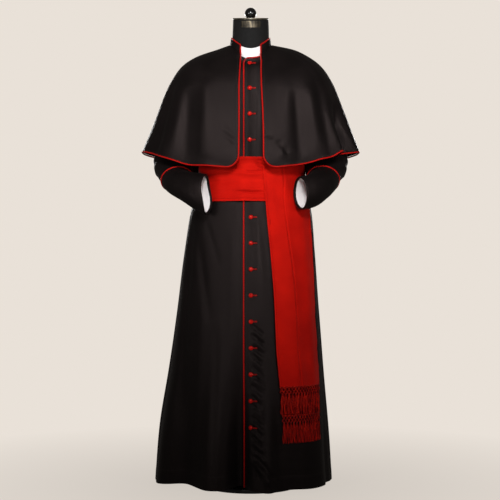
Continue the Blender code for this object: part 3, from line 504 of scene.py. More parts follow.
tab_rows = np.linspace(0.0, 2.0, 9)[:, None]
tab_edge = angle_at(COLLAR, tab_rows, COLLAR_EDGE + TAB_TUCK)
tab_angles = tab_edge * np.linspace(-1.0, 1.0, 31)[None, :]
tab_spots = np.broadcast_to(tab_rows, tab_angles.shape)
tab_behind = facing(collar_point, tab_angles, tab_spots) * (CLOTH + GAP)
tab_face = collar_point(tab_angles, tab_spots) - tab_behind
collar_tab = sew("collar_tab_insert", ["collar_tab"], tab_face, TAB_THICK, glazed_white)

# ---------------------------------------------------------------------------
# The shoulder cape: two halves of the same wool, seamed down the back and joined to the neck, open at the front, with
# rounded lower corners. It hangs to the elbow in soft flutes.

CAPE = (
    (1.071, 1.137, 1.050, 0.366, 0.369, 0.190, 0.204, 2.0),
    (1.135, 1.206, 1.125, 0.338, 0.341, 0.184, 0.190, 2.1),
    (1.205, 1.285, 1.208, 0.308, 0.311, 0.174, 0.175, 2.2),
    (1.275, 1.365, 1.295, 0.273, 0.279, 0.161, 0.158, 2.3),
    (1.340, 1.420, 1.375, 0.235, 0.243, 0.144, 0.138, 2.3),
    (1.396, 1.456, 1.440, 0.182, 0.196, 0.119, 0.113, 2.2),
    (1.430, 1.480, 1.482, 0.114, 0.146, 0.094, 0.087, 2.1),
    (1.4480, 1.4955, 1.5100, 0.0730, 0.0730, 0.0710, 0.0660, 2.0),
)
# How far each half's front edge lies from the middle at the rows of CAPE
LEFT_CAPE_EDGE = (0.0455, 0.0452, 0.0445, 0.0420, 0.0385, 0.0375, 0.0385, 0.0360)
RIGHT_CAPE_EDGE = (0.0425, 0.0420, 0.0410, 0.0410, 0.0412, 0.0385, 0.0365, 0.0360)
CAPE_CORNER = 0.040
CAPE_FOLDS = (
    (-22, 8, 0.006, 4.5, 0),
    (-35, 9, -0.009, 4.6, -0.008),
    (-50, 8, 0.007, 4.2, 0),
    (-66, 10, -0.009, 3.6, 0),
    (16, 7, 0.007, 4.2, 0),
    (27, 7, -0.009, 4.4, 0),
    (40, 7, 0.006, 4.6, 0.006),
    (53, 5.5, 0.017, 3.0, 0.018),
    (63, 6, -0.050, 2.6, 0),
    (76, 7, 0.006, 2.4, 0),
    (106, 10, 0.010, 4.4, 0),
    (126, 10, -0.020, 4.6, 0),
    (147, 11, 0.016, 4.4, 0),
    (169, 9, -0.014, 4.8, 0),
    (-104, 10, 0.011, 4.2, 0),
    (-124, 10, -0.019, 4.6, 0),
    (-146, 11, 0.017, 4.4, 0),
    (-167, 9, -0.012, 4.8, 0),
)
CAPE_CREASES = (
    (0, (-0.148, 1.370), (-0.154, 1.100), 0.022, 0.0080),
    (0, (-0.206, 1.345), (-0.222, 1.090), 0.022, -0.0090),
    (0, (-0.250, 1.330), (-0.290, 1.080), 0.018, -0.0040),
    (0, (-0.094, 1.205), (-0.052, 1.165), 0.0065, -0.0035),
    (0, (-0.086, 1.186), (-0.050, 1.150), 0.0060, 0.0030),
    (0, (-0.078, 1.165), (-0.054, 1.130), 0.0060, -0.0025),
    (0, (0.044, 1.182), (0.072, 1.164), 0.0060, -0.0035),
    (0, (0.050, 1.170), (0.082, 1.150), 0.0070, 0.0025),
    (0, (0.086, 1.156), (0.108, 1.142), 0.0075, -0.0060),
    (0, (0.108, 1.142), (0.122, 1.112), 0.0075, -0.0060),
    (0, (0.100, 1.130), (0.106, 1.100), 0.0100, 0.0035),
    (0, (0.148, 1.330), (0.166, 1.090), 0.014, -0.0070),
    (0, (0.120, 1.360), (0.126, 1.120), 0.018, 0.0035),
    (0, (0.222, 1.350), (0.268, 1.100), 0.015, -0.0045),
    (0, (0.196, 1.350), (0.222, 1.110), 0.015, 0.0035),
    (90, (-0.050, 1.380), (-0.080, 1.120), 0.016, -0.0045),
    (90, (0.030, 1.390), (0.050, 1.120), 0.018, -0.0050),
    (90, (0.090, 1.340), (0.130, 1.100), 0.014, 0.0040),
    (-90, (0.060, 1.380), (0.090, 1.110), 0.016, -0.0045),
    (-90, (-0.020, 1.390), (-0.040, 1.110), 0.018, -0.0050),
    (-90, (-0.090, 1.340), (-0.120, 1.090), 0.014, 0.0040),
    (180, (-0.060, 1.420), (-0.090, 1.050), 0.014, -0.0045),
    (180, (0.075, 1.400), (0.105, 1.050), 0.015, -0.0045),
    (180, (-0.170, 1.380), (-0.230, 1.060), 0.018, 0.0045),
    (180, (0.185, 1.380), (0.240, 1.060), 0.018, 0.0045),
    (180, (0.020, 1.300), (0.035, 1.040), 0.012, 0.0030),
)


def cape_point(angle, row):
    return folded(CAPE, CAPE_FOLDS, angle, row)


def cape_front_edge(row, edges):
    """How far a half's front edge lies from the middle, with its rounded lower corner."""
    edge = np.interp(row, np.arange(len(edges)), edges)
    height = between(CAPE, row)[..., 0] - CAPE[0][0]
    level = np.clip(1.0 - height / CAPE_CORNER, 0.0, 1.0)
    return edge + CAPE_CORNER * (1.0 - np.sqrt(1.0 - level * level))


def cape_half(node, side):
    """One half of the cape, and the line that its piping follows: down the front edge and along the hem."""
    corner = CAPE_CORNER * np.array((0.0, 0.01, 0.04, 0.09, 0.16, 0.26, 0.38, 0.52, 0.68, 0.84, 1.0))
    corner_rows = row_at(CAPE, CAPE[0][0] + corner)
    upper = even_rows(cape_point, side * 45.0, corner_rows[-1], 7.0, 0.0085)
    rows = np.concatenate((corner_rows, upper[1:]))
    edges = LEFT_CAPE_EDGE if side > 0 else RIGHT_CAPE_EDGE
    edge = angle_at(CAPE, rows, side * cape_front_edge(rows, edges))
    last = side * (180.0 - seam_angle(CAPE, rows))
    spread = np.linspace(0.0, 1.0, 151)[None, :]
    angles = edge[:, None] + (last - edge)[:, None] * spread
    if side < 0:
        angles = angles[:, ::-1]
    spots = np.broadcast_to(rows[:, None], angles.shape)
    points, normals = cape_point(angles, spots), facing(cape_point, angles, spots)
    push = creased(points, normals, CAPE_CREASES) + rippled(points, 0.11, 0.0012, 11)
    push *= 1.0 - 0.85 * ease((points[..., 2] - 1.41) / 0.05)
    across = lengths(points, 1)
    seam = across[:, -1:] - across if side > 0 else across
    front = across if side > 0 else across[:, -1:] - across
    push -= 0.0012 * np.exp(-((seam / 0.004) ** 2))
    push -= 0.0007 * np.exp(-(((front - 0.0065) / 0.002) ** 2))
    points = points + normals * push[..., None]
    piece = sew(node + "_half", [node], points, CLOTH, wool, 0.006, EDGE_STITCH, side < 0)
    front_column = 0 if side > 0 else -1
    down = points[::-1, front_column] - normals[::-1, front_column] * CLOTH / 2
    hem = points[0] - normals[0] * CLOTH / 2
    hem = hem if side > 0 else hem[::-1]
    out = np.concatenate((normals[::-1, front_column], (normals[0] if side > 0 else normals[0][::-1])[1:]))
    return piece, np.concatenate((down, hem[1:])), out


left_cape, left_cape_edge, left_cape_out = cape_half("left_cape", 1)
right_cape, right_cape_edge, right_cape_out = cape_half("right_cape", -1)

# ---------------------------------------------------------------------------
# The piping: a cord covered with bias-cut red satin and caught in the seam, down the front edge, round the collar,
# along both halves of the cape and round the top of each cuff.

PIPING = 0.0025
PIPING_LINE = LAP_EDGE - PIPING - GAP
PIPING_SIDES = 10
PIPING_STEP = 0.004


# Bias-cut silk satin drawn tight round a cord: bright, with slanting creases where the strip is pulled round and a
# dent at each stitch. The stitches are 3 mm apart on the real one and are drawn 5 mm apart.
def piped_satin():
    material, tree, shader = start_material("red silk satin piping", 0.38, Sheen_Weight=0.05, Sheen_Roughness=0.4)
    shader.inputs["Sheen Tint"].default_value = tint("#FF4A3C")
    shader.inputs["Specular Tint"].default_value = tint("#FF5A4A")
    place = add(tree, "ShaderNodeUVMap", {}, uv_map="cloth")
    parts = add(tree, "ShaderNodeSeparateXYZ", {0: place.outputs[0]})
    round_it, run = parts.outputs[0], parts.outputs[1]
    slant = add(tree, "ShaderNodeMath", {0: round_it, 1: 0.9, 2: run}, operation="MULTIPLY_ADD").outputs[0]
    strip = wave(tree, slant, 0.0026)
    dents = wave(tree, run, 0.0050)
    fine = add(tree, "ShaderNodeTexNoise", {"Vector": place.outputs[0], "Scale": 320.0, "Detail": 2.0})
    height = add(tree, "ShaderNodeMath", {0: dents, 1: 0.7, 2: strip}, operation="MULTIPLY_ADD").outputs[0]
    height = add(tree, "ShaderNodeMath", {0: fine.outputs[0], 1: 1.5, 2: height}, operation="MULTIPLY_ADD").outputs[0]
    # The colour follows the bump's height: painted shade down in the slanting creases and stitch dents, and a painted
    # highlight on their crowns.
    shade = add(tree, "ShaderNodeMapRange", {0: height, 1: -1.2, 2: 2.2, 3: 0.0, 4: 1.0})
    colour = {0: shade.outputs[0], 6: tint("#8E0B0B"), 7: tint("#C01712")}
    colour = add(tree, "ShaderNodeMix", colour, data_type="RGBA")
    tree.links.new(colour.outputs[2], shader.inputs["Base Color"])
    bump = add(tree, "ShaderNodeBump", {"Height": height, "Strength": 0.4, "Distance": 0.00025})
    tree.links.new(bump.outputs[0], shader.inputs["Normal"])
    return material


red_satin = piped_satin()


def even_path(path, step):
    """The same path in steps of one length."""
    path = np.array(path)
    run = np.concatenate(([0.0], np.cumsum(np.linalg.norm(np.diff(path, axis=0), axis=1))))
    spots = np.linspace(0.0, run[-1], max(int(run[-1] / step), 3))
    return np.stack([np.interp(spots, run, path[:, k]) for k in range(3)], axis=-1)


def cord_shape(path, radius, sides, closed=False):
    """Points and faces of a round cord along a path, and its cover's map in metres round and along it."""
    count = len(path)
    ahead = np.roll(path, -1, axis=0) - np.roll(path, 1, axis=0)
    if not closed:
        ahead[0], ahead[-1] = path[1] - path[0], path[-1] - path[-2]
    ahead /= np.linalg.norm(ahead, axis=1, keepdims=True)
    side = np.array((0.3, 0.5, 0.8))
    turns = np.arange(sides) * math.tau / sides
    rings = []
    for point, along in zip(path, ahead):
        side = side - along * (side @ along)
        side /= np.linalg.norm(side)
        across = np.cross(along, side)
        rings.append(point + radius * (np.outer(np.cos(turns), side) + np.outer(np.sin(turns), across)))
    points = np.concatenate(rings)
    run = np.concatenate(([0.0], np.cumsum(np.linalg.norm(np.diff(path, axis=0), axis=1))))
    faces, maps = [], []
    shift = 0
    if closed:
        shift = int(np.argmin(np.linalg.norm(rings[0] - rings[-1][0], axis=1)))
    arc = math.tau * radius / sides
    for i in range(count if closed else count - 1):
        far = (i + 1) % count
        turn = shift if far == 0 else 0
        for j in range(sides):
            k = (j + 1) % sides
            ahead_j, ahead_k = far * sides + (j + turn) % sides, far * sides + (k + turn) % sides
            faces.append((i * sides + j, i * sides + k, ahead_k, ahead_j))
            low, high = run[i], run[i] + np.linalg.norm(path[far] - path[i])
            maps.extend(((j * arc, low), ((j + 1) * arc, low), ((j + 1) * arc, high), (j * arc, high)))
    if not closed:
        faces.append(tuple(reversed(range(sides))))
        faces.append(tuple(range((count - 1) * sides, count * sides)))
        maps.extend([(0.0, 0.0)] * sides + [(0.0, float(run[-1]))] * sides)
    return points, faces, maps


def cord_piece(name, shapes, finish, node=None):
    """One piece of one or more cords."""
    points, faces, maps = [], [], []
    for shape_points, shape_faces, shape_maps in shapes:
        start = sum(len(p) for p in points)
        points.append(shape_points)
        faces.extend([tuple(start + corner for corner in face) for face in shape_faces])
        maps.extend(shape_maps)
    mesh = bpy.data.meshes.new(name)
    mesh.from_pydata(np.concatenate(points).tolist(), [], faces)
    mesh.uv_layers.new(name="cloth").data.foreach_set("uv", np.array(maps, dtype=float).ravel())
    mesh.materials.append(finish)
    mesh.shade_smooth()
    piece = bpy.data.objects.new(name, mesh)
    bpy.context.scene.collection.objects.link(piece)
    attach(piece, "root")
    if node:
        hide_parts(node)
    return piece


def pipe(name, node, path, closed=False):
    path = even_path(path, PIPING_STEP)
    return cord_piece(name, [cord_shape(path, PIPING, PIPING_SIDES, closed)], red_satin, node)


front_rows = even_rows(body_point, -8.0, 0.0, 11.5, 0.006)
front_angles = angle_at(BODY, front_rows, PIPING_LINE)
front_out = facing(right_front_point, front_angles, front_rows)
front_line = right_front_point(front_angles, front_rows)
front_line += front_out * (PIPING + GAP * 2 + rippled(front_line, 0.16, 0.0011, 3) * 0.8)[:, None]
# At the neck the cord bends round the lap's corner and runs along the neckline, under the tab
NECK_BEND = ((-0.0212, 1.4270), (-0.0190, 1.4345), (-0.0150, 1.4405), (-0.0095, 1.4435), (-0.0040, 1.4440))
bend = np.array(NECK_BEND + tuple((x, 1.4440 + 5.0 * x * x) for x in (0.004, 0.012, 0.019, 0.026, 0.0325)))
bend_rows = row_at(BODY, np.minimum(bend[:, 1], BODY[-1][0]))
bend_angles = angle_at(BODY, bend_rows, bend[:, 0])
neck_line = body_point(bend_angles, bend_rows) + facing(body_point, bend_angles, bend_rows) * 0.0012
neck_line[:, 2] = bend[:, 1]
front_line = np.concatenate((front_line, neck_line))
pipe("front_edge_piping", "front_piping", front_line)


def beside(edge, out, distance, side):
    """A line beside a cloth's edge, off it in the cloth's own plane."""
    ahead = np.gradient(edge, axis=0)
    off = np.cross(ahead, out) * side
    return edge + off / np.linalg.norm(off, axis=1, keepdims=True) * distance


for side, edge, out in ((1, left_cape_edge, left_cape_out), (-1, right_cape_edge, right_cape_out)):
    node = ("left" if side > 0 else "right") + "_cape_piping"
    pipe(node + "_cord", node, beside(edge, out, PIPING + GAP * 2, side))

COLLAR_CORD_IN = 0.0015
collar_clear = PIPING + GAP * 2
collar_inner = collar_face - collar_out * CLOTH
collar_top = (collar_face[-1] + collar_inner[-1]) / 2 + (0, 0, collar_clear)
collar_sides = []
for end, step in ((0, -1), (-1, 1)):
    spots = [collar_face[i, end] + (collar_face[i, end] - collar_inner[i, end]) * 0.75 for i in range(1, 14)]
    collar_sides.append([spot + np.array((step * COLLAR_CORD_IN, 0, 0)) for spot in spots])
collar_start, collar_finish = collar_sides
first_corner = [np.array((*collar_start[-1][:2], collar_top[0][2] - 0.0005))]
last_corner = [np.array((*collar_finish[-1][:2], collar_top[-1][2] - 0.0005))]
collar_line = collar_start + first_corner + list(collar_top[2:-2]) + last_corner + collar_finish[::-1]
pipe("collar_edge_piping", "collar_piping", collar_line)

# ---------------------------------------------------------------------------
# The sleeves: each a bent tube of the same wool set into its armhole, with a deep turned-back cuff of the same cloth.
# A plain white lining is felled inside the open end.

SILK, LINING = 0.0015, 0.0010
SLEEVE_SIDES = 72
ARMHOLE_STAND = 0.009
CUFF_FROM, LINING_FROM = 5.6, 6.2
RIM_ROLL = 0.0018
# How far the under side of each sleeve's end reaches past its middle, and the upper side falls short of it
RIGHT_LEAN, LEFT_LEAN = 0.022, 0.006

# Sections of a sleeve: x outwards from the middle, y, z, half height and half depth
RIGHT_SLEEVE = (
    (0.218, 0.006, 1.342, 0.053, 0.058),
    (0.237, 0.010, 1.280, 0.049, 0.058),
    (0.253, 0.013, 1.215, 0.054, 0.058),
    (0.266, 0.014, 1.155, 0.056, 0.058),
    (0.268, 0.000, 1.096, 0.058, 0.061),
    (0.254, -0.042, 1.053, 0.049, 0.055),
    (0.238, -0.088, 1.025, 0.043, 0.049),
    (0.206, -0.126, 1.008, 0.0475, 0.044),
    (0.178, -0.148, 0.994, 0.0535, 0.040),
    (0.147, -0.162, 0.982, 0.0600, 0.037),
)
LEFT_SLEEVE = (
    (0.219, 0.006, 1.342, 0.053, 0.058),
    (0.238, 0.010, 1.280, 0.049, 0.058),
    (0.256, 0.013, 1.215, 0.054, 0.058),
    (0.272, 0.014, 1.155, 0.056, 0.058),
    (0.269, 0.000, 1.096, 0.058, 0.061),
    (0.249, -0.046, 1.053, 0.049, 0.056),
    (0.237, -0.094, 1.025, 0.045, 0.049),
    (0.214, -0.132, 1.004, 0.048, 0.044),
    (0.192, -0.154, 0.992, 0.051, 0.042),
    (0.165, -0.170, 0.986, 0.0515, 0.041),
)
# Creases where the arm bends, seen from the front, the side, the back and above the forearm
RIGHT_SLEEVE_CREASES = (
    (0, (-0.256, 1.008), (-0.176, 1.041), 0.0060, 0.0030),
    (0, (-0.258, 1.020), (-0.190, 1.052), 0.0060, -0.0035),
    (0, (-0.270, 1.066), (-0.222, 1.100), 0.0070, -0.0035),
    (0, (-0.262, 1.040), (-0.215, 1.078), 0.0070, 0.0025),
    (0, (-0.236, 0.990), (-0.190, 0.975), 0.0060, -0.0020),
    (-90, (0.040, 1.150), (-0.010, 1.110), 0.0080, -0.0040),
    (-90, (0.045, 1.110), (-0.020, 1.075), 0.0080, -0.0045),
    (-90, (0.030, 1.060), (-0.060, 1.040), 0.0080, 0.0030),
    (-90, (0.000, 1.250), (0.020, 1.170), 0.0090, -0.0030),
    (180, (0.240, 1.130), (0.290, 1.100), 0.0080, -0.0040),
    (180, (0.235, 1.090), (0.280, 1.060), 0.0080, 0.0030),
    (180, (0.250, 1.260), (0.280, 1.180), 0.0090, -0.0030),
    (90, (-0.050, 1.064), (0.050, 1.064), 0.0300, 0.0095),
)
LEFT_SLEEVE_CREASES = (
    (0, (0.190, 1.046), (0.262, 1.058), 0.0065, 0.0035),
    (0, (0.196, 1.034), (0.262, 1.036), 0.0065, -0.0030),
    (0, (0.262, 1.110), (0.222, 1.085), 0.0070, -0.0035),
    (0, (0.270, 1.080), (0.226, 1.062), 0.0070, 0.0022),
    (0, (0.250, 0.992), (0.214, 0.975), 0.0060, -0.0020),
    (90, (-0.035, 1.145), (0.012, 1.105), 0.0080, -0.0040),
    (90, (-0.045, 1.100), (0.020, 1.070), 0.0080, -0.0045),
    (90, (-0.020, 1.055), (0.055, 1.035), 0.0080, 0.0030),
    (90, (0.005, 1.255), (-0.015, 1.175), 0.0090, -0.0030),
    (180, (-0.238, 1.125), (-0.290, 1.095), 0.0080, -0.0040),
    (180, (-0.232, 1.085), (-0.282, 1.055), 0.0080, 0.0030),
    (180, (-0.252, 1.255), (-0.282, 1.175), 0.0090, -0.0030),
    (-90, (-0.050, 1.064), (0.050, 1.064), 0.0300, 0.0095),
)


# Plain white cotton sateen, washed once: bright, matt, with a fine even weave drawn 1.6 mm apart for threads that
# are really 0.3 mm apart, and faint greyer clouds where it rubs.
def white_sateen():
    material, tree, shader = start_material("white cotton lining", 0.72, Sheen_Weight=0.10, Sheen_Roughness=0.5)
    cloth = add(tree, "ShaderNodeUVMap", {}, uv_map="cloth")
    parts = add(tree, "ShaderNodeSeparateXYZ", {0: cloth.outputs[0]})
    warp, weft = wave(tree, parts.outputs[0], 0.0016), wave(tree, parts.outputs[1], 0.0016)
    weave = add(tree, "ShaderNodeMath", {0: warp, 1: weft}, operation="MULTIPLY").outputs[0]
    cloud = add(tree, "ShaderNodeTexNoise", {"Vector": cloth.outputs[0], "Scale": 22.0, "Detail": 2.0})
    colour = {0: cloud.outputs[0], 6: tint("#E9E2E2"), 7: tint("#FCFAF9")}
    colour = add(tree, "ShaderNodeMix", colour, data_type="RGBA")
    tree.links.new(colour.outputs[2], shader.inputs["Base Color"])
    bump = add(tree, "ShaderNodeBump", {"Height": weave, "Strength": 0.25, "Distance": 0.0002})
    tree.links.new(bump.outputs[0], shader.inputs["Normal"])
    return material


white_lining = white_sateen()


def armhole_loop(side):
    """The armhole's outline on the body's face, from the armpit round the back and over the shoulder."""
    turns = np.radians(-90 + np.arange(SLEEVE_SIDES) * 360.0 / SLEEVE_SIDES)
    rows = ARMHOLE_ROW + ARMHOLE_RISE * np.sin(turns)
    angles = side * (90.0 + ARMHOLE_ANGLE * np.cos(turns))
    return body_point(angles, rows) + np.array((side * GAP, 0.0, 0.0))


def sleeve_grid(table, side, rows, lean):
    """The sleeve's outer points and outward directions, ring by ring, kept from twisting from one to the next."""
    loop = armhole_loop(side)
    middle = loop.mean(axis=0)
    arms = between(table, rows)
    centres = arms[:, :3] * (side, 1.0, 1.0)
    ahead = np.gradient(centres, axis=0)
    ahead[0] = centres[0] - middle
    spokes = loop - middle
    rings, outs = [], []
    leans = lean * ease((rows - 6.0) / 3.0)
    for centre, along, arm, lean in zip(centres, ahead, arms, leans):
        along = along / np.linalg.norm(along)
        tall = np.array((0.0, 0.0, 1.0)) - along * along[2]
        tall /= np.linalg.norm(tall)
        deep = np.cross(along, tall)
        spokes = spokes - np.outer(spokes @ along, along)
        spokes /= np.linalg.norm(spokes, axis=1, keepdims=True)
        reach = 1.0 / np.hypot(spokes @ tall / arm[3], spokes @ deep / arm[4])
        rings.append(centre + spokes * reach[:, None] - np.outer(spokes @ tall, along) * lean)
        outs.append(spokes.copy())
    return np.array(rings), np.array(outs), loop, middle


def make_sleeve(name, table, side, lean, creases):
    last = len(table) - 1.0
    rows = np.linspace(0.0, last, 100)
    rings, outs, loop, middle = sleeve_grid(table, side, rows, lean)
    push = creased(rings, outs, creases) + rippled(rings, 0.07, 0.0008, 21 + side)
    at_cuff = ease((rows - CUFF_FROM + 0.35) / 0.3)
    push *= (1.0 - at_cuff)[:, None] * ease(rows / 0.5)[:, None]
    faces = rings + outs * push[..., None]
    shrunk = loop + (middle - loop) / np.linalg.norm(middle - loop, axis=1, keepdims=True) * GAP
    stood = shrunk + np.array((side * ARMHOLE_STAND, 0.0, 0.0))
    steps = [shrunk + (stood - shrunk) * t for t in (0.0, 0.5, 1.0)]
    steps += [stood + (faces[0] - stood) * ease(t) for t in (0.2, 0.4, 0.6, 0.8)]
    tube = np.concatenate((steps, faces))
    flip = slice(None) if side > 0 else slice(None, None, -1)

    def outside_out(grid):
        """Turns a sleeve's grid so that its faces point outwards."""
        return grid[::-1, flip]

    nodes = [name + "_sleeve", name + "_sleeve_lower"]
    sleeve = sew(name + "_sleeve_tube", nodes, outside_out(tube), SILK, wool, tube=True)

    fine = np.linspace(CUFF_FROM, last, 46)
    rings, outs, _, _ = sleeve_grid(table, side, np.concatenate((np.arange(0.0, CUFF_FROM, 0.2), fine)), lean)
    rings, outs = rings[-len(fine) :], outs[-len(fine) :]
    top_out = outs[0]
    ripple = rippled(rings, 0.06, 0.0006, 31 + side)
    cuff = rings + outs * (GAP + SILK + np.abs(ripple))[..., None]
    along = rings[-1] - rings[-2]
    along /= np.linalg.norm(along, axis=1, keepdims=True)
    roll = []
    for turn in (20, 45, 70, 90, 110, 135, 160):
        out = GAP + SILK + RIM_ROLL * (math.cos(math.radians(turn)) - 1.0)
        roll.append(rings[-1] + outs[-1] * out + along * RIM_ROLL * math.sin(math.radians(turn)))
    inside = [rings[-1] - outs[-1] * (2 * RIM_ROLL - GAP - SILK + 0.0002) - along * back for back in (0.001, 0.004)]
    cuff = np.concatenate((cuff, roll, inside))
    edge_roll = np.exp(-(np.arange(len(cuff)) / 1.5) ** 2) * 0.0005
    cuff[: len(fine)] -= outs * edge_roll[: len(fine), None, None]
    turned = sew(name + "_cuff_turned", [name + "_cuff"], outside_out(cuff), SILK, wool, tube=True)

    within = np.linspace(LINING_FROM, last - 0.04, 30)
    rings, outs, _, _ = sleeve_grid(table, side, np.concatenate((np.arange(0.0, LINING_FROM, 0.2), within)), lean)
    rings, outs = rings[-len(within) :], outs[-len(within) :]
    sag = np.abs(rippled(rings, 0.035, 0.0011, 41 + side)) * ease((last - within) / 0.4)[:, None]
    depth = SILK + GAP + LINING + sag
    lining = rings - outs * depth[..., None]
    nodes = [name + "_cuff_lining"]
    lining = sew(name + "_cuff_facing", nodes, outside_out(lining), LINING, white_lining, tube=True)

    down = cuff[1] - cuff[0]
    down /= np.linalg.norm(down, axis=1, keepdims=True)
    pipe(name + "_cuff_cord", name + "_cuff_piping", cuff[0] - down * 0.003 + top_out * (PIPING - SILK + GAP), True)
    return sleeve, turned, lining


right_sleeve, right_cuff, right_lining = make_sleeve("right", RIGHT_SLEEVE, -1, RIGHT_LEAN, RIGHT_SLEEVE_CREASES)
left_sleeve, left_cuff, left_lining = make_sleeve("left", LEFT_SLEEVE, 1, LEFT_LEAN, LEFT_SLEEVE_CREASES)

# ---------------------------------------------------------------------------
# The buttons: domed wooden moulds covered with red silk, thirteen down the front, each through a buttonhole worked
# over a red cord that lies to the wearer's left of it.

BUTTON_LINE, UPPER_BUTTON_LINE = 0.001, -0.003
BUTTON_RADIUS, BUTTON_HEIGHT, BUTTON_LIFT = 0.0078, 0.0056, 0.0004
BUTTON_PITCH = 0.0855
UPPER_BUTTONS, UPPER_BUTTON_TOP = 4, 1.4215
LOWER_BUTTONS, LOWER_BUTTON_TOP = 9, 0.9080
HOLE_LENGTH, HOLE_HALF_WIDTH, HOLE_CORD = 0.0195, 0.0013, 0.0009


# Silk satin stretched over the mould: its cross threads show as a fine grid, and it shines on the crown.
def covered_satin():
    material, tree, shader = start_material("red silk button cover", 0.20, Sheen_Weight=0.05, Sheen_Roughness=0.4)
    shader.inputs["Sheen Tint"].default_value = tint("#FF4A3C")
    shader.inputs["Specular Tint"].default_value = tint("#FF8A7A")
    place = add(tree, "ShaderNodeTexCoord", {})
    parts = add(tree, "ShaderNodeSeparateXYZ", {0: place.outputs["Object"]})
    threads = add(
        tree, "ShaderNodeMath", {0: wave(tree, parts.outputs[0], 0.0012), 1: wave(tree, parts.outputs[2], 0.0012)},
        operation="MULTIPLY",
    ).outputs[0]
    fine = add(tree, "ShaderNodeTexNoise", {"Vector": place.outputs["Object"], "Scale": 500.0, "Detail": 2.0})
    shade = add(tree, "ShaderNodeMath", {0: threads, 1: 0.25, 2: fine.outputs[0]}, operation="MULTIPLY_ADD").outputs[0]
    colour = {0: shade, 6: tint("#960B0B"), 7: tint("#CC1610")}
    colour = add(tree, "ShaderNodeMix", colour, data_type="RGBA")
    tree.links.new(colour.outputs[2], shader.inputs["Base Color"])
    bump = add(tree, "ShaderNodeBump", {"Height": shade, "Strength": 0.35, "Distance": 0.0002})
    tree.links.new(bump.outputs[0], shader.inputs["Normal"])
    return material


button_satin = covered_satin()


def pick_faces(piece, wanted):
    """In edit mode, selects the faces whose middle and normal are wanted, and no others."""
    bpy.ops.object.mode_set(mode="OBJECT")
    for part in (piece.data.vertices, piece.data.edges, piece.data.polygons):
        part.foreach_set("select", [False] * len(part))
    for face in piece.data.polygons:
        face.select = wanted(face.center, face.normal)
    bpy.ops.object.mode_set(mode="EDIT")
    bpy.ops.mesh.select_mode(type="FACE")


bpy.ops.object.select_all(action="DESELECT")
flat_back = BUTTON_HEIGHT * 0.30
bpy.ops.mesh.primitive_cylinder_add(
    vertices=20, radius=BUTTON_RADIUS * 0.90, depth=flat_back, location=(0, 0, flat_back / 2)
)
button = bpy.context.object
bpy.ops.object.transform_apply()
bpy.ops.object.mode_set(mode="EDIT")
pick_faces(button, lambda middle, normal: normal.z > 0.9)
bpy.ops.transform.resize(value=(1.10, 1.10, 1.0))
for share, rise in ((0.055, 0.24), (0.16, 0.20), (0.22, 0.14), (0.26, 0.08)):
    bpy.ops.mesh.inset(thickness=BUTTON_RADIUS * share)
    bpy.ops.transform.translate(value=(0, 0, BUTTON_HEIGHT * rise))
bpy.ops.mesh.poke(offset=BUTTON_HEIGHT * 0.02)
bpy.ops.object.mode_set(mode="OBJECT")
bpy.ops.object.shade_smooth()
smooth = button.modifiers.new("smooth", "SUBSURF")
smooth.levels = smooth.render_levels = 1
bpy.ops.object.modifier_apply(modifier=smooth.name)
button.data.materials.append(button_satin)


def lap_spot(x, z):
    """A point on the lap's face, and its outward direction."""
    row = np.array([row_at(BODY, z)])
    angle = angle_at(BODY, row, x)
    return body_point(angle, row)[0], facing(body_point, angle, row)[0]


button_heights = [UPPER_BUTTON_TOP - BUTTON_PITCH * i for i in range(UPPER_BUTTONS)]
button_heights += [LOWER_BUTTON_TOP - BUTTON_PITCH * i for i in range(LOWER_BUTTONS)]
hole_turns = np.radians(np.concatenate((np.arange(90, 271, 30), np.arange(-90, 91, 30))))
for number, z in enumerate(button_heights, start=1):
    line = UPPER_BUTTON_LINE if number <= UPPER_BUTTONS else BUTTON_LINE
    seat, out = lap_spot(line, z)
    turn = Vector(out).to_track_quat("Z", "Y").to_matrix().to_4x4()
    cover = button.copy()
    cover.data = button.data.copy()
    cover.data.transform(Matrix.Translation(Vector(seat + out * BUTTON_LIFT)) @ turn)
    cover.name = cover.data.name = f"button_cover_{number:02d}"
    bpy.context.scene.collection.objects.link(cover)
    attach(cover, "root")
    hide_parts(f"button_{number:02d}")
    loop = []
    for place, turn in enumerate(hole_turns):
        end = 0.003 if place < 7 else HOLE_LENGTH - HOLE_HALF_WIDTH
        spot, out = lap_spot(line + end + HOLE_HALF_WIDTH * math.cos(turn), z)
        loop.append(spot + out * (HOLE_CORD * 0.7 + 0.0004) + (0.0, 0.0, HOLE_HALF_WIDTH * math.sin(turn)))
    hole = cord_shape(np.array(loop), HOLE_CORD, 6, True)
    cord_piece(f"buttonhole_{number:02d}", [hole], red_satin)
bpy.data.objects.remove(button)

# ---------------------------------------------------------------------------
# The sash: a band of red ribbed silk wound round the waist over a stiffening, pleated along its length, with two long
# tails that hang from its join at the wearer's left of the middle.

SASH_TOP, SASH_BOTTOM = 1.108, 0.960
SASH_LOW_ROW, SASH_HIGH_ROW = row_at(BODY, SASH_BOTTOM), row_at(BODY, SASH_TOP)
FRONT_TAIL_LIFT, REAR_TAIL_LIFT, TAIL_DROP = 0.0125, 0.0098, -0.0042
FRONT_TAIL_END, REAR_TAIL_END = 0.354, 0.262
FRINGE_LENGTH = 0.092
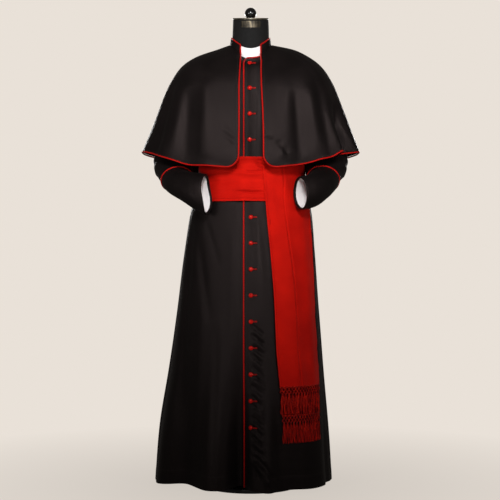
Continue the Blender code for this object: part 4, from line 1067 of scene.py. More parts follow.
# Where a tail's two edges hang: height, x of the edge nearer the middle, x of the other
TAIL = (
    (0.170, 0.1020, 0.2220),
    (0.346, 0.0925, 0.2215),
    (0.474, 0.0815, 0.2124),
    (0.637, 0.0745, 0.2040),
    (0.800, 0.0620, 0.1940),
    (0.948, 0.0480, 0.1810),
    (1.110, 0.0376, 0.1660),
)
SASH_CREASES = (
    (0, (-0.046, 0.991), (0.046, 0.990), 0.0034, -0.0045),
    (0, (-0.060, 0.998), (0.046, 0.999), 0.0060, 0.0022),
    (0, (-0.020, 1.056), (0.046, 1.060), 0.0042, -0.0035),
    (0, (-0.060, 1.066), (0.000, 1.057), 0.0060, -0.0018),
    (0, (-0.150, 1.070), (0.030, 1.048), 0.0070, 0.0022),
    (0, (0.022, 1.098), (0.048, 1.090), 0.0032, -0.0034),
    (0, (0.018, 1.089), (0.048, 1.079), 0.0032, -0.0036),
    (0, (0.026, 1.080), (0.048, 1.070), 0.0030, -0.0034),
    (0, (0.020, 1.074), (0.048, 1.062), 0.0030, 0.0020),
    (0, (-0.170, 1.030), (-0.050, 1.022), 0.0060, -0.0020),
    (-90, (-0.090, 1.050), (0.080, 1.066), 0.0060, -0.0032),
    (-90, (-0.100, 1.010), (0.070, 1.000), 0.0060, -0.0030),
    (-90, (-0.060, 1.030), (0.090, 1.032), 0.0060, 0.0022),
    (180, (-0.130, 1.060), (0.120, 1.052), 0.0055, -0.0032),
    (180, (-0.110, 1.018), (0.140, 1.026), 0.0055, -0.0032),
    (180, (-0.090, 0.990), (0.100, 0.985), 0.0050, -0.0026),
    (180, (-0.120, 1.038), (0.080, 1.040), 0.0060, 0.0020),
    (90, (-0.080, 1.048), (0.090, 1.058), 0.0060, -0.0032),
    (90, (-0.070, 1.004), (0.080, 1.010), 0.0060, -0.0030),
)


# Ribbed silk: a lustrous ribbon cloth with fine cords across its length. The real cords are 0.7 mm apart and are drawn
# 2.2 mm apart.
# Its colour has a painted highlight along the crown of each rib and is slightly uneven in its dye. Below a given height
# it is painted near black as painted shade.
def ribbed_silk(name, rib_axis, painted_shade_below=None):
    material, tree, shader = start_material(name, 0.42, Sheen_Weight=0.06, Sheen_Roughness=0.35)
    shader.inputs["Sheen Tint"].default_value = tint("#FF3020")
    shader.inputs["Specular IOR Level"].default_value = 0.50
    shader.inputs["Specular Tint"].default_value = tint("#FF2A18")
    cloth = add(tree, "ShaderNodeUVMap", {}, uv_map="cloth")
    parts = add(tree, "ShaderNodeSeparateXYZ", {0: cloth.outputs[0]})
    drift = add(tree, "ShaderNodeTexNoise", {"Vector": cloth.outputs[0], "Scale": 35.0, "Detail": 2.0})
    bent = {0: drift.outputs[0], 1: 0.0012, 2: parts.outputs[rib_axis]}
    bent = add(tree, "ShaderNodeMath", bent, operation="MULTIPLY_ADD").outputs[0]
    ribs = wave(tree, bent, 0.0022)
    fine = add(tree, "ShaderNodeTexNoise", {"Vector": cloth.outputs[0], "Scale": 420.0, "Detail": 2.0})
    cloud = add(tree, "ShaderNodeTexNoise", {"Vector": cloth.outputs[0], "Scale": 9.0, "Detail": 3.0})
    stitched = add(tree, "ShaderNodeUVMap", {}, uv_map="stitches")
    off = add(tree, "ShaderNodeSeparateXYZ", {0: stitched.outputs[0]})
    hem = stitch_mask(tree, off.outputs[0], parts.outputs[0], 0.0009, 0.0045)
    edge = stitch_mask(tree, off.outputs[1], parts.outputs[1], 0.0009, 0.0045)
    stitches = add(tree, "ShaderNodeMath", {0: hem, 1: edge}, operation="MAXIMUM").outputs[0]
    # The ribs paint the colour lighter on each crown and darker between them: painted highlight and painted shade. The
    # cloud and the fine noise are uneven dye.
    shade = add(tree, "ShaderNodeMath", {0: ribs, 1: 0.16, 2: cloud.outputs[0]}, operation="MULTIPLY_ADD").outputs[0]
    shade = add(tree, "ShaderNodeMath", {0: fine.outputs[0], 1: 0.3, 2: shade}, operation="MULTIPLY_ADD").outputs[0]
    shade = add(tree, "ShaderNodeMapRange", {0: shade, 1: 0.35, 2: 0.95, 3: 0.0, 4: 1.0}).outputs[0]
    colour = add(tree, "ShaderNodeMix", {0: shade, 6: tint("#A30F0B"), 7: tint("#CC180E")}, data_type="RGBA")
    colour = {0: stitches, 6: colour.outputs[2], 7: tint("#8A0B0C")}
    colour = add(tree, "ShaderNodeMix", colour, data_type="RGBA")
    # Given a height, everything below it is mixed to near black by its Object height: painted shade where the front
    # fringe hangs over the rear tail.
    if painted_shade_below is not None:
        place = add(tree, "ShaderNodeTexCoord", {})
        spot = add(tree, "ShaderNodeSeparateXYZ", {0: place.outputs["Object"]})
        dark = {0: spot.outputs[2], 1: painted_shade_below - 0.002, 2: painted_shade_below + 0.010, 3: 1.0, 4: 0.0}
        dark = add(tree, "ShaderNodeMapRange", dark).outputs[0]
        colour = add(tree, "ShaderNodeMix", {0: dark, 6: colour.outputs[2], 7: tint("#2A0405")}, data_type="RGBA")
    tree.links.new(colour.outputs[2], shader.inputs["Base Color"])
    height = add(tree, "ShaderNodeMath", {0: fine.outputs[0], 1: 0.8, 2: ribs}, operation="MULTIPLY_ADD").outputs[0]
    height = add(tree, "ShaderNodeMath", {0: stitches, 1: -2.5, 2: height}, operation="MULTIPLY_ADD").outputs[0]
    bump = add(tree, "ShaderNodeBump", {"Height": height, "Strength": 0.3, "Distance": 0.0002})
    tree.links.new(bump.outputs[0], shader.inputs["Normal"])
    return material


band_silk = ribbed_silk("red ribbed silk, ribs upright", 0)
tail_silk = ribbed_silk("red ribbed silk, ribs level", 1)
# This silk carries painted shade: it is near black below the front tail's end, behind the front fringe.
silk_with_painted_shade = ribbed_silk("red ribbed silk, painted shade under a fringe", 1, FRONT_TAIL_END)


def sash_lift(points, row):
    """How far the band's outer face stands off the body: it rises over the piping, and its pleats roll."""
    over_piping = 0.0052 * np.exp(-(((points[..., 0] - PIPING_LINE) / 0.030) ** 2))
    height = (row - SASH_LOW_ROW) / (SASH_HIGH_ROW - SASH_LOW_ROW)
    pleats = 0.0011 * (1.0 + np.cos(math.tau * 3.0 * height))
    return 0.0034 + SILK + over_piping + pleats


band_rows = np.linspace(SASH_LOW_ROW, SASH_HIGH_ROW, 70)[:, None]
band_angles = np.broadcast_to(np.linspace(-180.0, 180.0, 301)[None, :-1], (70, 300))
band_spots = np.broadcast_to(band_rows, band_angles.shape)
band_base = body_point(band_angles, band_spots)
band_out = facing(body_point, band_angles, band_spots)
band_rest = sash_lift(band_base, band_spots)
band_push = creased(band_base, band_out, SASH_CREASES) + rippled(band_base, 0.09, 0.0007, 51, 2.5)
band_height = (band_spots - SASH_LOW_ROW) / (SASH_HIGH_ROW - SASH_LOW_ROW)
band_hem = 0.0010 * (ease((0.075 - band_height) / 0.012) + ease((band_height - 0.925) / 0.012))
band_x = band_base[..., 0]
under_tails = ease((band_x - 0.046) / 0.008) * ease((0.190 - band_x) / 0.01) * (band_base[..., 1] < 0)
band_push = np.maximum(band_push, -0.0050) * (1.0 - 0.8 * under_tails)
band_face = band_base + band_out * (band_rest + band_push + band_hem * (1.0 - under_tails))[..., None]
sash_band = sew("sash_waist_band", ["sash_band"], band_face, SILK, band_silk, 0.0085, tube=True)


def tail_point(share, z, lift, slide):
    """Points of a tail at shares of its width from the edge nearer the middle."""
    share, z = np.broadcast_arrays(np.asarray(share, dtype=float), np.asarray(z, dtype=float))
    row = row_at(BODY, z)
    tail = between(TAIL, np.interp(z, [r[0] for r in TAIL], np.arange(len(TAIL))))
    near = angle_at(BODY, row, tail[..., 1] + slide)
    far = angle_at(BODY, row, tail[..., 2] + slide)
    angle = near + (far - near) * share
    stand_off = lift + TAIL_DROP * ease((0.945 - z) / 0.12)
    return body_point(angle, row) + facing(body_point, angle, row) * stand_off[..., None]


def tail_out(share, z, lift, slide):
    across = tail_point(share + 0.02, z, lift, slide) - tail_point(share - 0.02, z, lift, slide)
    up = tail_point(share, z + 0.004, lift, slide) - tail_point(share, z - 0.004, lift, slide)
    out = np.cross(across, up)
    return out / np.linalg.norm(out, axis=-1, keepdims=True)


def make_tail(name, end_z, lift, slide, seed, silk):
    """A tail: hemmed edges, a pressed line down its middle, a cross crease, and edges that flute a little."""
    heights = np.linspace(end_z, SASH_TOP, int((SASH_TOP - end_z) / 0.006))[:, None]
    shares = np.linspace(0.0, 1.0, 73)[None, :]
    shares, heights = np.broadcast_arrays(shares, heights)
    points, out = tail_point(shares, heights, lift, slide), tail_out(shares, heights, lift, slide)
    rng = np.random.default_rng(seed)
    centre = 0.30 + 0.12 * ease((1.05 - heights) / 0.5)
    push = 0.0012 * np.exp(-np.abs(shares - centre) / 0.03)
    push -= 0.0026 * np.exp(-(((shares - centre - 0.03) / 0.012) ** 2))
    push += 0.0010 * np.sin(shares * 15.0 + heights * 4.0)
    for _ in range(9):
        z, deep = rng.uniform(end_z + 0.02, 0.94), rng.uniform(0.0006, 0.0018) * rng.choice((-1, 1))
        reach, slant = rng.uniform(0.12, 0.30), rng.uniform(-0.03, 0.03)
        at_edge = shares if rng.random() < 0.6 else 1.0 - shares
        push += deep * np.exp(-(((heights - z - slant * at_edge) / 0.010) ** 2)) * np.exp(-((at_edge / reach) ** 2))
    push -= 0.0018 * np.exp(-(((heights - 0.470) / 0.005) ** 2))
    push += rippled(points, 0.13, 0.0012, seed + 1, 1.0)
    push += 0.0005 * (ease((0.045 - shares) / 0.01) + ease((shares - 0.955) / 0.01))
    limit = 0.0012 + 0.0012 * ease((0.93 - heights) / 0.1)
    push = np.clip(push, -limit, limit)
    points = points + out * push[..., None]
    return sew(name + "_tail_silk", [name + "_tail"], points, SILK, silk, None, 0.0060)


# Twisted silk thread of the same dye: each is a two-ply twist, and short slanting bars of painted highlight stand for
# light catching it.
# Long streaks of painted highlight and painted shade, from near black to bright red, run down the threads.
def silk_thread():
    material, tree, shader = start_material("red silk thread", 0.36, Sheen_Weight=0.05, Sheen_Roughness=0.4)
    shader.inputs["Specular IOR Level"].default_value = 0.80
    shader.inputs["Sheen Tint"].default_value = tint("#FF3020")
    shader.inputs["Specular Tint"].default_value = tint("#FF4A3C")
    cloth = add(tree, "ShaderNodeUVMap", {}, uv_map="cloth")
    parts = add(tree, "ShaderNodeSeparateXYZ", {0: cloth.outputs[0]})
    slant = add(tree, "ShaderNodeMath", {0: parts.outputs[0], 1: 1.2, 2: parts.outputs[1]}, operation="MULTIPLY_ADD")
    twist = wave(tree, slant.outputs[0], 0.0022)
    place = add(tree, "ShaderNodeTexCoord", {})
    long = add(tree, "ShaderNodeMapping", {0: place.outputs["Object"], 3: (1.0, 1.0, 0.12)})
    cloud = add(tree, "ShaderNodeTexNoise", {"Vector": long.outputs[0], "Scale": 260.0, "Detail": 2.0})
    # The cloud is stretched along the threads, and the narrow range swings it from near black to bright red: painted
    # highlight on some strands and painted shade in the gaps between bunches.
    shade = add(tree, "ShaderNodeMath", {0: twist, 1: 0.18, 2: cloud.outputs[0]}, operation="MULTIPLY_ADD").outputs[0]
    shade = add(tree, "ShaderNodeMapRange", {0: shade, 1: 0.42, 2: 0.66, 3: 0.0, 4: 1.0}).outputs[0]
    colour = add(tree, "ShaderNodeMix", {0: shade, 6: tint("#4A0510"), 7: tint("#FF2E1A")}, data_type="RGBA")
    tree.links.new(colour.outputs[2], shader.inputs["Base Color"])
    bump = add(tree, "ShaderNodeBump", {"Height": twist, "Strength": 0.5, "Distance": 0.0003})
    tree.links.new(bump.outputs[0], shader.inputs["Normal"])
    return material


thread_silk = silk_thread()

# ---------------------------------------------------------------------------
# The fringes: silk threads knotted into the end of each tail. A netted heading crosses them twice between rows of
# knots, and below it they hang free in small bunches.

HEADING = 0.026
KNOT_COLUMNS = 14
BUNCH = 9
THREAD = 0.00075


def thread_spot(share, z, lift, slide, off):
    share, z = np.asarray(share, dtype=float), np.asarray(z, dtype=float)
    return tail_point(share, z, lift, slide) + tail_out(share, z, lift, slide) * np.asarray(off)[..., None]


def make_fringe(name, top, lift, slide, seed):
    rng = np.random.default_rng(seed)
    shapes = []
    levels = [top - 0.001, top - 0.0095, top - 0.0180, top - HEADING]
    pitch = 1.0 / KNOT_COLUMNS
    for level in range(3):
        shift = 0.5 * (level % 2)
        for column in range(KNOT_COLUMNS + 1):
            start = (column + shift) * pitch
            for way in (-0.5, 0.5):
                end = start + way * pitch
                if not (-0.01 < start < 1.01 and -0.01 < end < 1.01):
                    continue
                for twin in (-0.0010, 0.0010):
                    t = np.linspace(0.0, 1.0, 6)
                    share = start + (end - start) * t + twin / 0.125 * np.sin(t * math.pi)
                    z = levels[level] + (levels[level + 1] - levels[level]) * t
                    off = -0.0004 + 0.0009 * np.sin(t * math.pi) * (1 if way > 0 else -1)
                    shapes.append(cord_shape(thread_spot(share, z, lift, slide, off), THREAD, 5))
    for level in (1, 2, 3):
        shift = 0.5 * (level % 2)
        for column in range(KNOT_COLUMNS + 1):
            share = (column + shift) * pitch
            if not -0.01 < share < 1.01:
                continue
            z = levels[level] + rng.uniform(-0.0006, 0.0006)
            turns = np.linspace(0.0, math.tau * 1.75, 12)
            spread = 0.0016 * np.cos(turns) / 0.125
            rise = z + np.linspace(0.0016, -0.0016, 12)
            loop = thread_spot(share + spread, rise, lift, slide, 0.0016 * np.sin(turns))
            shapes.append(cord_shape(loop, THREAD, 5))
    t = np.linspace(0.0, 1.0, 13)
    for column in range(KNOT_COLUMNS):
        root = (column + 0.5) * pitch
        lean, curl = rng.normal(0.0, 0.020), rng.uniform(0, math.tau)
        for strand in range(BUNCH):
            part = strand / (BUNCH - 1) - 0.5
            end = FRINGE_LENGTH * rng.uniform(0.955, 1.0)
            z = levels[3] + (top - end - levels[3]) * t
            wander = rng.normal(0.0, 0.008) * t**1.5 + 0.012 * np.sin(t * rng.uniform(4, 7) + curl + part) * t
            share = root + part * pitch * (0.15 + 1.25 * np.sqrt(t)) + lean * t + wander
            share = np.clip(share, -0.012, 1.012)
            off = -0.0008 + 0.0022 * math.sin(strand * 2.4) * np.sqrt(t) + 0.0007 * np.sin(t * 9 + curl + strand)
            shapes.append(cord_shape(thread_spot(share, z, lift, slide, off), THREAD, 5))
    seam = np.linspace(0.004, 0.996, 60)
    braid = np.linspace(0.0, math.tau * 30, 60)
    for phase in (0.0, math.pi):
        z = top - 0.0012 + 0.0009 * np.sin(braid + phase)
        off = 0.0006 + 0.0005 * np.cos(braid + phase)
        shapes.append(cord_shape(thread_spot(seam, z, lift, slide, off), 0.0011, 5))
    return cord_piece(name + "_fringe_threads", shapes, thread_silk, name + "_fringe")


front_tail = make_tail("front", FRONT_TAIL_END, FRONT_TAIL_LIFT, 0.0, 61, tail_silk)
# The rear tail's silk is painted near black below the front tail's end, as painted shade behind the front fringe.
rear_tail = make_tail("rear", REAR_TAIL_END, REAR_TAIL_LIFT, 0.003, 71, silk_with_painted_shade)
front_fringe = make_fringe("front", FRONT_TAIL_END, FRONT_TAIL_LIFT, 0.0, 81)
rear_fringe = make_fringe("rear", REAR_TAIL_END, REAR_TAIL_LIFT, 0.003, 91)

# ---------------------------------------------------------------------------
# The dress form: a padded torso and neck block without arms or legs, covered tightly with black jersey. A turned
# wooden cap with a metal rim closes the neck, and a glossy knob stands on it.

NECK_TOP, NECK_TILT, CAP_HEIGHT, CAP_RADIUS = 1.5828, 0.158, 0.005, 0.0615
KNOB_RADIUS, KNOB_FOOT = 0.0195, 0.012
FORM_BOTTOM_ROW, FORM_TOP_ROW = 4.2, 12.3
NECK_BLOCK = (
    (1.424, 1.468, 1.480, 0.0640, 0.0640, 0.0585, 0.0580, 2.0),
    (1.462, 1.500, 1.514, 0.0634, 0.0636, 0.0560, 0.0575, 2.0),
    (1.500, 1.522, 1.530, 0.0618, 0.0628, 0.0560, 0.0575, 2.0),
    (1.545, 1.552, 1.556, 0.0605, 0.0622, 0.0560, 0.0570, 2.0),
    (NECK_TOP, NECK_TOP, NECK_TOP, 0.0595, 0.0605, 0.0560, 0.0570, 2.0),
)


# Black cotton jersey pulled tight over padding: matt, with fine upright knit ribs drawn 2 mm apart for real ones of
# 0.8 mm, and a little lint.
def jersey_cover():
    material, tree, shader = start_material("black cotton jersey", 0.75, Sheen_Weight=0.05, Sheen_Roughness=0.6)
    shader.inputs["Sheen Tint"].default_value = tint("#A9A09C")
    shader.inputs["Specular IOR Level"].default_value = 0.25
    cloth = add(tree, "ShaderNodeUVMap", {}, uv_map="cloth")
    parts = add(tree, "ShaderNodeSeparateXYZ", {0: cloth.outputs[0]})
    ribs = wave(tree, parts.outputs[0], 0.0020)
    rows = wave(tree, parts.outputs[1], 0.0026)
    knit = add(tree, "ShaderNodeMath", {0: rows, 1: 0.5, 2: ribs}, operation="MULTIPLY_ADD").outputs[0]
    lint = add(tree, "ShaderNodeTexNoise", {"Vector": cloth.outputs[0], "Scale": 90.0, "Detail": 4.0})
    shade = add(tree, "ShaderNodeMapRange", {0: lint.outputs[0], 1: 0.40, 2: 0.75, 3: 0.0, 4: 1.0}).outputs[0]
    colour = add(tree, "ShaderNodeMix", {0: shade, 6: tint("#090808"), 7: tint("#121010")}, data_type="RGBA")
    tree.links.new(colour.outputs[2], shader.inputs["Base Color"])
    bump = add(tree, "ShaderNodeBump", {"Height": knit, "Strength": 0.4, "Distance": 0.0003})
    tree.links.new(bump.outputs[0], shader.inputs["Normal"])
    return material


black_jersey = jersey_cover()


def form_clearance(angle, row):
    """How far the form's skin lies inside the cloth: it carries the shoulders, and is well clear elsewhere."""
    loose = 0.014 - 0.004 * ease((row - 6.0) / 4.0)
    seat = ease((row - ARMHOLE_ROW - ARMHOLE_RISE * 0.98) / 0.5) * ease((np.abs(angle) - 35.0) / 20.0)
    return CLOTH + 0.0012 + loose * (1.0 - seat)


def neck_point(angle, row):
    """Points on the neck block, whose top leans forwards."""
    angle, row = np.broadcast_arrays(np.asarray(angle, dtype=float), np.asarray(row, dtype=float))
    points = on_section(NECK_BLOCK, angle, row)
    points[..., 2] += NECK_TILT * points[..., 1] * ease(row - 3.0)
    return points


form_columns = np.linspace(-180.0, 180.0, 97)[:-1]
form_rows = even_rows(body_point, 90.0, FORM_BOTTOM_ROW, FORM_TOP_ROW, 0.014)
form_angles, form_spots = np.meshgrid(form_columns, form_rows)
form_skin = body_point(form_angles, form_spots)
form_inset = form_clearance(form_angles, form_spots)[..., None]
form_skin = form_skin - facing(body_point, form_angles, form_spots) * form_inset
foot = form_skin[0]
closing = [np.stack((foot[:, 0] * s, foot[:, 1] * s, foot[:, 2] - d), axis=-1)
           for s, d in ((0.02, 0.0118), (0.50, 0.0119), (0.90, 0.0112), (0.965, 0.0085), (0.99, 0.004))]
neck_rows = np.concatenate((np.linspace(0.0, 3.96, 24), [3.985, 4.0]))
neck_angles, neck_spots = np.meshgrid(form_columns, neck_rows)
neck_skin = neck_point(neck_angles, neck_spots)
neck_middle = np.array((0.0, 0.0, NECK_TOP))
neck_lid = [neck_middle + (neck_skin[-1] - neck_middle) * share for share in (0.97, 0.02)]
form_grid = np.concatenate((closing, form_skin, neck_skin, neck_lid))
mesh = bpy.data.meshes.new("form_cover")
count, around = form_grid.shape[:2]
corners = [((i, j), (i, j + 1), (i + 1, j + 1), (i + 1, j)) for i in range(count - 1) for j in range(around)]
quads = [tuple(a * around + b % around for a, b in square) for square in corners]
quads += [tuple(range(around - 1, -1, -1)), tuple(range((count - 1) * around, count * around))]
mesh.from_pydata(form_grid.reshape(-1, 3).tolist(), [], quads)
seam_grid = np.concatenate((form_grid, form_grid[:, :1]), axis=1)
form_run, form_rise = lengths(seam_grid, 1), lengths(seam_grid, 0)
spots = [(form_run[a, b], form_rise[a, b]) for square in corners for a, b in square] + [(0.0, 0.0)] * around * 2
mesh.uv_layers.new(name="cloth").data.foreach_set("uv", np.array(spots).ravel())
mesh.materials.append(black_jersey)
mesh.shade_smooth()
form_cover = bpy.data.objects.new("form_cover", mesh)
bpy.context.scene.collection.objects.link(form_cover)
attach(form_cover, "root")
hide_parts("dress_form")


# Turned beech under an olive-brown stain and a thin satin varnish: rings of grain and a few darker flecks.
def stained_beech():
    material, tree, shader = start_material("stained beech, satin varnish", 0.38)
    shader.inputs["Coat Weight"].default_value = 0.3
    shader.inputs["Coat Roughness"].default_value = 0.25
    place = add(tree, "ShaderNodeTexCoord", {})
    grain = {"Vector": place.outputs["Object"], "Scale": 14.0, "Distortion": 5.0, "Detail": 3.0, "Detail Scale": 1.5}
    grain = add(tree, "ShaderNodeTexWave", grain, bands_direction="Y")
    fleck = add(tree, "ShaderNodeTexNoise", {"Vector": place.outputs["Object"], "Scale": 260.0, "Detail": 3.0})
    shade = add(tree, "ShaderNodeMath", {0: fleck.outputs[0], 1: 0.5, 2: grain.outputs[1]}, operation="MULTIPLY_ADD")
    shade = add(tree, "ShaderNodeMapRange", {0: shade.outputs[0], 1: 0.1, 2: 1.3, 3: 0.0, 4: 1.0}).outputs[0]
    colour = add(tree, "ShaderNodeMix", {0: shade, 6: tint("#4B4030"), 7: tint("#8A7A5C")}, data_type="RGBA")
    tree.links.new(colour.outputs[2], shader.inputs["Base Color"])
    bump = add(tree, "ShaderNodeBump", {"Height": shade, "Strength": 0.15, "Distance": 0.0002})
    tree.links.new(bump.outputs[0], shader.inputs["Normal"])
    return material


# Spun zinc, lightly tarnished: fine rings from turning, duller where hands touch it.
def turned_zinc():
    material, tree, shader = start_material("turned zinc rim", 0.34, Metallic=1.0)
    place = add(tree, "ShaderNodeTexCoord", {})
    cloud = add(tree, "ShaderNodeTexNoise", {"Vector": place.outputs["Object"], "Scale": 70.0, "Detail": 3.0})
    colour = add(tree, "ShaderNodeMix", {0: cloud.outputs[0], 6: tint("#6F6A5F"), 7: tint("#A8A293")}, data_type="RGBA")
    tree.links.new(colour.outputs[2], shader.inputs["Base Color"])
    rough = add(tree, "ShaderNodeMapRange", {0: cloud.outputs[0], 1: 0.3, 2: 0.7, 3: 0.26, 4: 0.46})
    tree.links.new(rough.outputs[0], shader.inputs["Roughness"])
    return material


# Black lacquered wood, sprayed and polished: a wet gloss with the faintest ripple.
def black_lacquer():
    material, tree, shader = start_material("black lacquer, polished", 0.12)
    shader.inputs["Coat Weight"].default_value = 0.6
    shader.inputs["Coat Roughness"].default_value = 0.06
    place = add(tree, "ShaderNodeTexCoord", {})
    wear = add(tree, "ShaderNodeTexNoise", {"Vector": place.outputs["Object"], "Scale": 60.0, "Detail": 3.0})
    rough = add(tree, "ShaderNodeMapRange", {0: wear.outputs[0], 1: 0.35, 2: 0.7, 3: 0.09, 4: 0.22})
    tree.links.new(rough.outputs[0], shader.inputs["Roughness"])
    colour = add(tree, "ShaderNodeMix", {0: wear.outputs[0], 6: tint("#060606"), 7: tint("#0E0D0E")}, data_type="RGBA")
    tree.links.new(colour.outputs[2], shader.inputs["Base Color"])
    return material


cap_beech, cap_zinc, knob_lacquer = stained_beech(), turned_zinc(), black_lacquer()


def finish_hard(piece, name, node=None, seat=None):
    """Names a finished hard piece, settles its place in its mesh and lets it ride."""
    bpy.ops.object.mode_set(mode="OBJECT")
    bpy.ops.object.transform_apply(location=True, rotation=True, scale=True)
    if seat is not None:
        piece.data.transform(seat)
    bpy.ops.object.shade_smooth_by_angle(angle=math.radians(35))
    piece.name = piece.data.name = name
    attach(piece, "root")
    if node:
        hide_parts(node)
    return piece


neck_up = Vector((0.0, -NECK_TILT, 1.0)).normalized()
neck_turn = Vector((0, 0, 1)).rotation_difference(neck_up).to_matrix().to_4x4()
cap_seat = Matrix.Translation(neck_middle + np.array(neck_up) * GAP) @ neck_turn
bpy.ops.object.select_all(action="DESELECT")
bpy.ops.mesh.primitive_cylinder_add(
    vertices=72, radius=CAP_RADIUS - 0.0012, depth=CAP_HEIGHT, location=(0, 0, CAP_HEIGHT / 2)
)
cap = bpy.context.object
bpy.ops.object.transform_apply()
bpy.ops.object.mode_set(mode="EDIT")
pick_faces(cap, lambda middle, normal: normal.z > 0.9)
bpy.ops.mesh.inset(thickness=0.0022)
bpy.ops.mesh.inset(thickness=0.0006)
bpy.ops.transform.translate(value=(0, 0, -0.0006))
bpy.ops.mesh.inset(thickness=0.034)
bpy.ops.transform.translate(value=(0, 0, 0.0005))
bpy.ops.object.mode_set(mode="OBJECT")
edge = cap.modifiers.new("edge", "BEVEL")
edge.width, edge.segments = 0.0005, 2
bpy.ops.object.modifier_apply(modifier=edge.name)
cap.data.materials.append(cap_beech)
finish_hard(cap, "neck_cap_disc", "neck_cap", cap_seat)

bpy.ops.object.select_all(action="DESELECT")
bpy.ops.mesh.primitive_torus_add(
    major_segments=96, minor_segments=10, major_radius=CAP_RADIUS - 0.0008, minor_radius=0.0010,
    location=(0, 0, CAP_HEIGHT * 0.5),
)
rim = bpy.context.object
bpy.ops.object.mode_set(mode="EDIT")
bpy.ops.mesh.select_all(action="SELECT")
bpy.ops.transform.resize(value=(1.0, 1.0, 1.7))
rim.data.materials.append(cap_zinc)
finish_hard(rim, "neck_cap_rim", seat=cap_seat)

knob_low = CAP_HEIGHT + GAP
knob_middle = knob_low + math.sqrt(KNOB_RADIUS**2 - KNOB_FOOT**2)
bpy.ops.object.select_all(action="DESELECT")
bpy.ops.mesh.primitive_uv_sphere_add(segments=48, ring_count=28, radius=KNOB_RADIUS, location=(0, 0, knob_middle))
knob = bpy.context.object
bpy.ops.object.transform_apply()
bpy.ops.object.mode_set(mode="EDIT")
bpy.ops.mesh.select_all(action="SELECT")
bpy.ops.mesh.bisect(plane_co=(0, 0, knob_low + 0.0028), plane_no=(0, 0, 1), clear_inner=True, use_fill=True)
bpy.ops.mesh.extrude_region_move(TRANSFORM_OT_translate={"value": (0, 0, -0.0014)})
bpy.ops.transform.resize(value=(0.93, 0.93, 1.0))
bpy.ops.mesh.extrude_region_move(TRANSFORM_OT_translate={"value": (0, 0, -0.0006)})
bpy.ops.transform.resize(value=(1.06, 1.06, 1.0))
bpy.ops.mesh.extrude_region_move(TRANSFORM_OT_translate={"value": (0, 0, -0.0008)})
knob.data.materials.append(knob_lacquer)
finish_hard(knob, "neck_knob_ball", "knob", cap_seat)



# Thin brass with a dark brown patina, brushed upright, lighter where it has been rubbed: a bare plate that is pinned
# to the front of the neck block under the cap.
def dark_brass():
    material, tree, shader = start_material("brass plate, dark patina", 0.45, Metallic=0.7)
    cloth = add(tree, "ShaderNodeUVMap", {}, uv_map="cloth")
    stretch = add(tree, "ShaderNodeMapping", {0: cloth.outputs[0], "Scale": (1.0, 0.06, 1.0)})
    streaks = add(tree, "ShaderNodeTexNoise", {"Vector": stretch.outputs[0], "Scale": 260.0, "Detail": 3.0})
    rubbed = add(tree, "ShaderNodeTexNoise", {"Vector": cloth.outputs[0], "Scale": 38.0, "Detail": 3.0})
    shade = add(tree, "ShaderNodeMath", {0: streaks.outputs[0], 1: rubbed.outputs[0]}, operation="MULTIPLY").outputs[0]
    shade = add(tree, "ShaderNodeMapRange", {0: shade, 1: 0.16, 2: 0.42, 3: 0.0, 4: 1.0}).outputs[0]
    colour = add(tree, "ShaderNodeMix", {0: shade, 6: tint("#1D1914"), 7: tint("#6E6350")}, data_type="RGBA")
    tree.links.new(colour.outputs[2], shader.inputs["Base Color"])
    return material


PLATE_WIDTH, PLATE_BOTTOM, PLATE_TOP = 0.064, 1.5475, 1.5775
plate_rows = row_at(NECK_BLOCK, np.linspace(PLATE_BOTTOM, PLATE_TOP, 9))[:, None]
plate_reach = angle_at(NECK_BLOCK, plate_rows, PLATE_WIDTH / 2)
plate_angles = plate_reach * np.linspace(-1.0, 1.0, 31)[None, :]
plate_spots = np.broadcast_to(plate_rows, plate_angles.shape)
plate_face = neck_point(plate_angles, plate_spots) + facing(neck_point, plate_angles, plate_spots) * 0.0012
sew("neck_block_plate", [], plate_face, 0.0009, dark_brass())

# ---------------------------------------------------------------------------
# The stand: a steel pole on a heavy round plate, both sprayed with black powder coat. The hem hides it.

POLE_RADIUS, BASE_RADIUS, BASE_HEIGHT = 0.014, 0.160, 0.014


# Powder-coated steel: an even satin black with a fine orange-peel skin and faint rubbed marks.
def powder_coat():
    material, tree, shader = start_material("black powder coat on steel", 0.45)
    place = add(tree, "ShaderNodeTexCoord", {})
    peel = add(tree, "ShaderNodeTexNoise", {"Vector": place.outputs["Object"], "Scale": 700.0, "Detail": 2.0})
    wear = add(tree, "ShaderNodeTexNoise", {"Vector": place.outputs["Object"], "Scale": 25.0, "Detail": 4.0})
    colour = add(tree, "ShaderNodeMix", {0: wear.outputs[0], 6: tint("#141415"), 7: tint("#242425")}, data_type="RGBA")
    tree.links.new(colour.outputs[2], shader.inputs["Base Color"])
    rough = add(tree, "ShaderNodeMapRange", {0: wear.outputs[0], 1: 0.3, 2: 0.7, 3: 0.36, 4: 0.56})
    tree.links.new(rough.outputs[0], shader.inputs["Roughness"])
    bump = add(tree, "ShaderNodeBump", {"Height": peel.outputs[0], "Strength": 0.25, "Distance": 0.0002})
    tree.links.new(bump.outputs[0], shader.inputs["Normal"])
    return material


